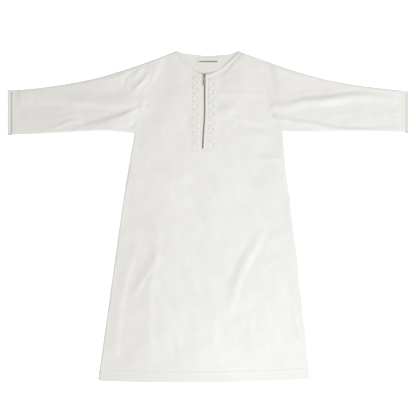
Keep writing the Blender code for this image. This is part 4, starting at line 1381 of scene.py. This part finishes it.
def shield(mesh, low, high):
    """A slider plate: a rounded shield, wider at the nose, between two heights."""
    made = bmesh.ops.create_circle(mesh, cap_ends=True, segments=SHIELD_SIDES, radius=1.0)
    for vert in made["verts"]:
        angle = math.atan2(vert.co.y, vert.co.x)
        up = math.copysign(abs(math.sin(angle)) ** SHIELD_DOWN, math.sin(angle))
        wide = SLIDER_WIDTH / 2 * (SHIELD_NARROW + (1.0 - SHIELD_NARROW) * (up + 1) / 2)
        x = math.copysign(abs(math.cos(angle)) ** SHIELD_ACROSS, math.cos(angle)) * wide
        vert.co = Vector((zip_x(SLIDER_Y) + x, SLIDER_Y + up * SLIDER_LENGTH / 2, low)) * MM
    face = [face for face in mesh.faces if all(vert in made["verts"] for vert in face.verts)]
    lifted = drawn_up(mesh, face, high - low, use_keep_orig=True)
    rim = [edge for edge in mesh.edges if edge.verts[0] in lifted and edge.verts[1] in lifted]
    rounded(mesh, rim, PLATE_BEVEL, 3)


def make_slider():
    mesh = bmesh.new()
    x = float(zip_x(SLIDER_Y))
    shield(mesh, PLATE_LOW, PLATE_LOW + PLATE_THICKNESS)
    shield(mesh, *LOWER_PLATE)
    bmesh.ops.recalc_face_normals(mesh, faces=mesh.faces[:])
    nose = SLIDER_Y + SLIDER_LENGTH / 2
    bevelled_box(mesh, POST_SIZE, (x, nose - POST_IN, (PLATE_LOW + POST_FOOT) / 2), POST_BEVEL)
    for side, _ in SIDES:
        lip = (x + side * LIP_AWAY, SLIDER_Y - LIP_DOWN, PLATE_LOW - LIP_DROP)
        bevelled_box(mesh, LIP_SIZE, lip, LIP_BEVEL)
    before = set(mesh.verts)
    ring = bmesh.ops.create_circle(mesh, cap_ends=True, segments=LOOP_SIDES, radius=0.5)
    bmesh.ops.scale(mesh, vec=(LOOP_WIDTH * MM, LOOP_THICKNESS * MM, MM), verts=ring["verts"])
    centre = Vector((x, HINGE_Y, HINGE_Z)) * MM
    bmesh.ops.translate(mesh, vec=centre + Vector((0.0, LOOP_RADIUS * MM, 0.0)), verts=ring["verts"])
    foot = [face for face in mesh.faces if all(vert in ring["verts"] for vert in face.verts)]
    spun = bmesh.ops.spin(mesh, geom=foot, cent=centre, axis=(1, 0, 0), angle=math.pi, steps=LOOP_STEPS,
                          use_duplicate=False)
    last = [part for part in spun["geom_last"] if isinstance(part, bmesh.types.BMFace)]
    for end in (foot, last):
        if end and end[0].is_valid:
            drawn_up(mesh, end, -LOOP_FOOT)
    loop_faces = [face for face in mesh.faces if face.verts[0] not in before]
    bmesh.ops.recalc_face_normals(mesh, faces=loop_faces)
    return as_object("zip_slider_cast", mesh, cast_nickel, sharp=SHARP_METAL)


slider = make_slider()
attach(slider, "garment")
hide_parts("zip_slider")


# Zip pull tab: a flat stamped drop with an eye at its head, a slot in its body and a raised rim, free to turn
# on the slider's loop.
TAB_THICKNESS = 1.0
TAB_TILT = math.radians(2.6)
TAB_YAW = math.radians(-5.0)
TAB_EDGE = 0.3
TAB_OUTLINE = [(-0.75, 2.4), (0.0, 3.2), (3.0, 3.5), (7.0, 3.2), (10.5, 1.8), (12.0, 1.6), (14.5, 2.2),
               (20.0, 2.9), (27.0, 3.1), (31.0, 2.4), (32.3, 1.7), (33.0, 0.7)]
TAB_RIM = [(14.2, 0.9), (16.0, 1.5), (20.0, 2.15), (27.0, 2.35), (30.6, 1.7), (31.8, 0.4)]
RIM_RADIUS = 0.26
EYE_HALF, EYE_NEAR, EYE_FAR = 1.35, 0.75, 3.3
SLOT_RADIUS, SLOT_MIDDLE, SLOT_HALF = 0.95, 24.5, 3.6
SLOT_POINTS = 28
RUBBED_NICKEL = (0.54, 0.475, 0.375)
rubbed_nickel = metal_material("rubbed nickel", RUBBED_NICKEL, 0.33)
TAB_PLACE = Matrix.Translation(Vector((zip_x(HINGE_Y), HINGE_Y, HINGE_Z)) * MM)
TAB_PLACE = TAB_PLACE @ Matrix.Rotation(TAB_YAW, 4, "Z") @ Matrix.Rotation(TAB_TILT, 4, "X")


def closed_curve(curve, points, z=0.0):
    spline = curve.splines.new("POLY")
    spline.use_cyclic_u = True
    spline.points.add(len(points) - 1)
    for control, (x, y) in zip(spline.points, points):
        control.co = (x * MM, y * MM, z * MM, 1.0)


def curve_mesh(curve):
    """A curve made a mesh, in the curve's own space."""
    holder = bpy.data.objects.new("curve", curve)
    bpy.context.collection.objects.link(holder)
    data = bpy.data.meshes.new_from_object(holder.evaluated_get(bpy.context.evaluated_depsgraph_get()))
    bpy.data.objects.remove(holder)
    bpy.data.curves.remove(curve)
    return data


def both_sides(points):
    """A drop's whole outline from its right half, given as distance along it and half its width."""
    half = smooth_line(points, 5)
    return [(p[1], -p[0]) for p in half] + [(-p[1], -p[0]) for p in half[::-1]]


def make_pull_tab():
    eye = [(EYE_HALF * side, -y) for side, y in ((1, EYE_NEAR), (-1, EYE_NEAR), (-1, EYE_FAR), (1, EYE_FAR))]
    slot = []
    for index in range(SLOT_POINTS):
        a = 2 * math.pi * (index + 0.5) / SLOT_POINTS
        y = SLOT_MIDDLE + SLOT_RADIUS * math.sin(a) + math.copysign(SLOT_HALF, math.sin(a))
        slot.append((SLOT_RADIUS * math.cos(a), -y))
    blank = bpy.data.curves.new("pull tab blank", "CURVE")
    blank.dimensions = "2D"
    blank.fill_mode = "BOTH"
    blank.extrude = (TAB_THICKNESS / 2 - TAB_EDGE) * MM
    blank.bevel_depth = TAB_EDGE * MM
    blank.bevel_resolution = 3
    blank.offset = -TAB_EDGE * MM
    for points in (both_sides(TAB_OUTLINE), eye, slot):
        closed_curve(blank, points)
    rim = bpy.data.curves.new("pull tab rim", "CURVE")
    rim.dimensions = "3D"
    rim.bevel_depth = RIM_RADIUS * MM
    rim.bevel_resolution = 2
    closed_curve(rim, both_sides(TAB_RIM), TAB_THICKNESS / 2)
    mesh = bmesh.new()
    for curve in (blank, rim):
        part = curve_mesh(curve)
        mesh.from_mesh(part)
        bpy.data.meshes.remove(part)
    bmesh.ops.remove_doubles(mesh, verts=mesh.verts[:], dist=WELD)
    mesh.transform(TAB_PLACE)
    return as_object("pull_tab_drop", mesh, rubbed_nickel, sharp=SHARP_METAL)


tab = make_pull_tab()
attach(tab, "pull_tab")
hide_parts("zip_pull_tab")


# Label: a woven ribbon folded at its two ends and sewn inside the back neck, left bare.
label_low, label_high = [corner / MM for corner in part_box("neck_label")]
LABEL_MIDDLE = (label_low + label_high) / 2
LABEL_WIDTH, LABEL_HEIGHT, _ = label_high - label_low
LABEL_THICKNESS = 0.26
LABEL_END_RISE, LABEL_END = 0.08, 6.0
LABEL_SEWN_IN = (1.6, 1.0)  # the stitches' distance from the ends and from the two long edges
LABEL_RIBS = (0.5, 0.5, 0.0)
LABEL_GRID = (60, 30)
LABEL_WAVES = (0.05, 5.0, 0.03, 7.0)  # height and turns of a wave up the label and of one across it
LABEL_SIDE = 3.0
LABEL_WHITE, LABEL_SHADE = (0.80, 0.792, 0.765), (0.77, 0.76, 0.73)
STRIPE_Y, STRIPE_REACH, STRIPE_HEIGHT, STRIPE_PITCH = 499.1, 29.0, 4.4, 0.75
STRIPE_SLANT = 0.3
STRIPE_OVERLAP = 1.05
STRIPE_GREY = (0.24, 0.232, 0.22)
STRIPE_LIFT, STRIPE_THICKNESS = 0.06, 0.35
label_weave = woven("woven label", LABEL_WHITE, LABEL_SHADE, 0.5, 0.1, LABEL_RIBS, 0.06, 0.05)
stripe_thread = thread_material("grey label thread", STRIPE_GREY, 0.6)


def label_height(points):
    """Height of the label's face on the back; its two ends are folded under, so it rises a little there."""
    across = (points[..., 0] - LABEL_MIDDLE.x) / (LABEL_WIDTH / 2)
    up = (points[..., 1] - LABEL_MIDDLE.y) / (LABEL_HEIGHT / 2)
    from_end = (1 - abs(across)) * LABEL_WIDTH / 2
    from_side = (1 - abs(up)) * LABEL_HEIGHT / 2
    end_rise = LABEL_END_RISE * (1 - (1 - np.minimum(from_end / LABEL_END, 1)) ** 2)
    up_height, up_turns, across_height, across_turns = LABEL_WAVES
    wave = up_height * np.sin(up * up_turns) * np.minimum(from_side / LABEL_SIDE, 1.0)
    wave = wave + across_height * np.sin(across * across_turns + up * 2.0)
    return CLOTH + back_lift(points) + LABEL_THICKNESS + end_rise + wave


def make_label():
    mesh = bmesh.new()
    bmesh.ops.create_grid(mesh, x_segments=LABEL_GRID[0], y_segments=LABEL_GRID[1], size=0.5)
    x = label_low.x + LABEL_WIDTH * (np.array([vert.co.x for vert in mesh.verts]) + 0.5)
    y = label_low.y + LABEL_HEIGHT * (np.array([vert.co.y for vert in mesh.verts]) + 0.5)
    for vert, place in zip(mesh.verts, zip(x, y, label_height(np.stack([x, y], axis=-1)))):
        vert.co = Vector(place) * MM
    label = as_object("neck_label_ribbon", mesh, label_weave)
    thicken(label, "ribbon", LABEL_THICKNESS)
    return label


def make_stripe():
    """A plain stripe woven across the label in grey thread."""
    x = LABEL_MIDDLE.x + np.arange(-STRIPE_REACH, STRIPE_REACH, STRIPE_PITCH)
    low, high = STRIPE_Y - STRIPE_HEIGHT / 2, STRIPE_Y + STRIPE_HEIGHT / 2
    starts = np.stack([x, np.full_like(x, low)], axis=-1)
    ends = np.stack([starts, np.stack([x + STRIPE_SLANT, np.full_like(x, high)], axis=-1)], axis=1)
    heights = label_height(ends) + STRIPE_LIFT
    width = STRIPE_PITCH * STRIPE_OVERLAP
    return strands("label_stripe", ends, heights, width, STRIPE_THICKNESS, stripe_thread)


label = make_label()
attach(label, "garment")
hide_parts("neck_label")
stripe = make_stripe()
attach(stripe, "garment")
for side, word in SIDES:
    end_x = LABEL_MIDDLE.x + side * (LABEL_WIDTH / 2 - LABEL_SEWN_IN[0])
    end_line = np.array([(end_x, label_low.y + LABEL_SEWN_IN[1]), (end_x, label_high.y - LABEL_SEWN_IN[1])])
    sewn_row(f"label_stitches_{word}", end_line, label_height(stitch_ends(end_line)) - STITCH_SINK)
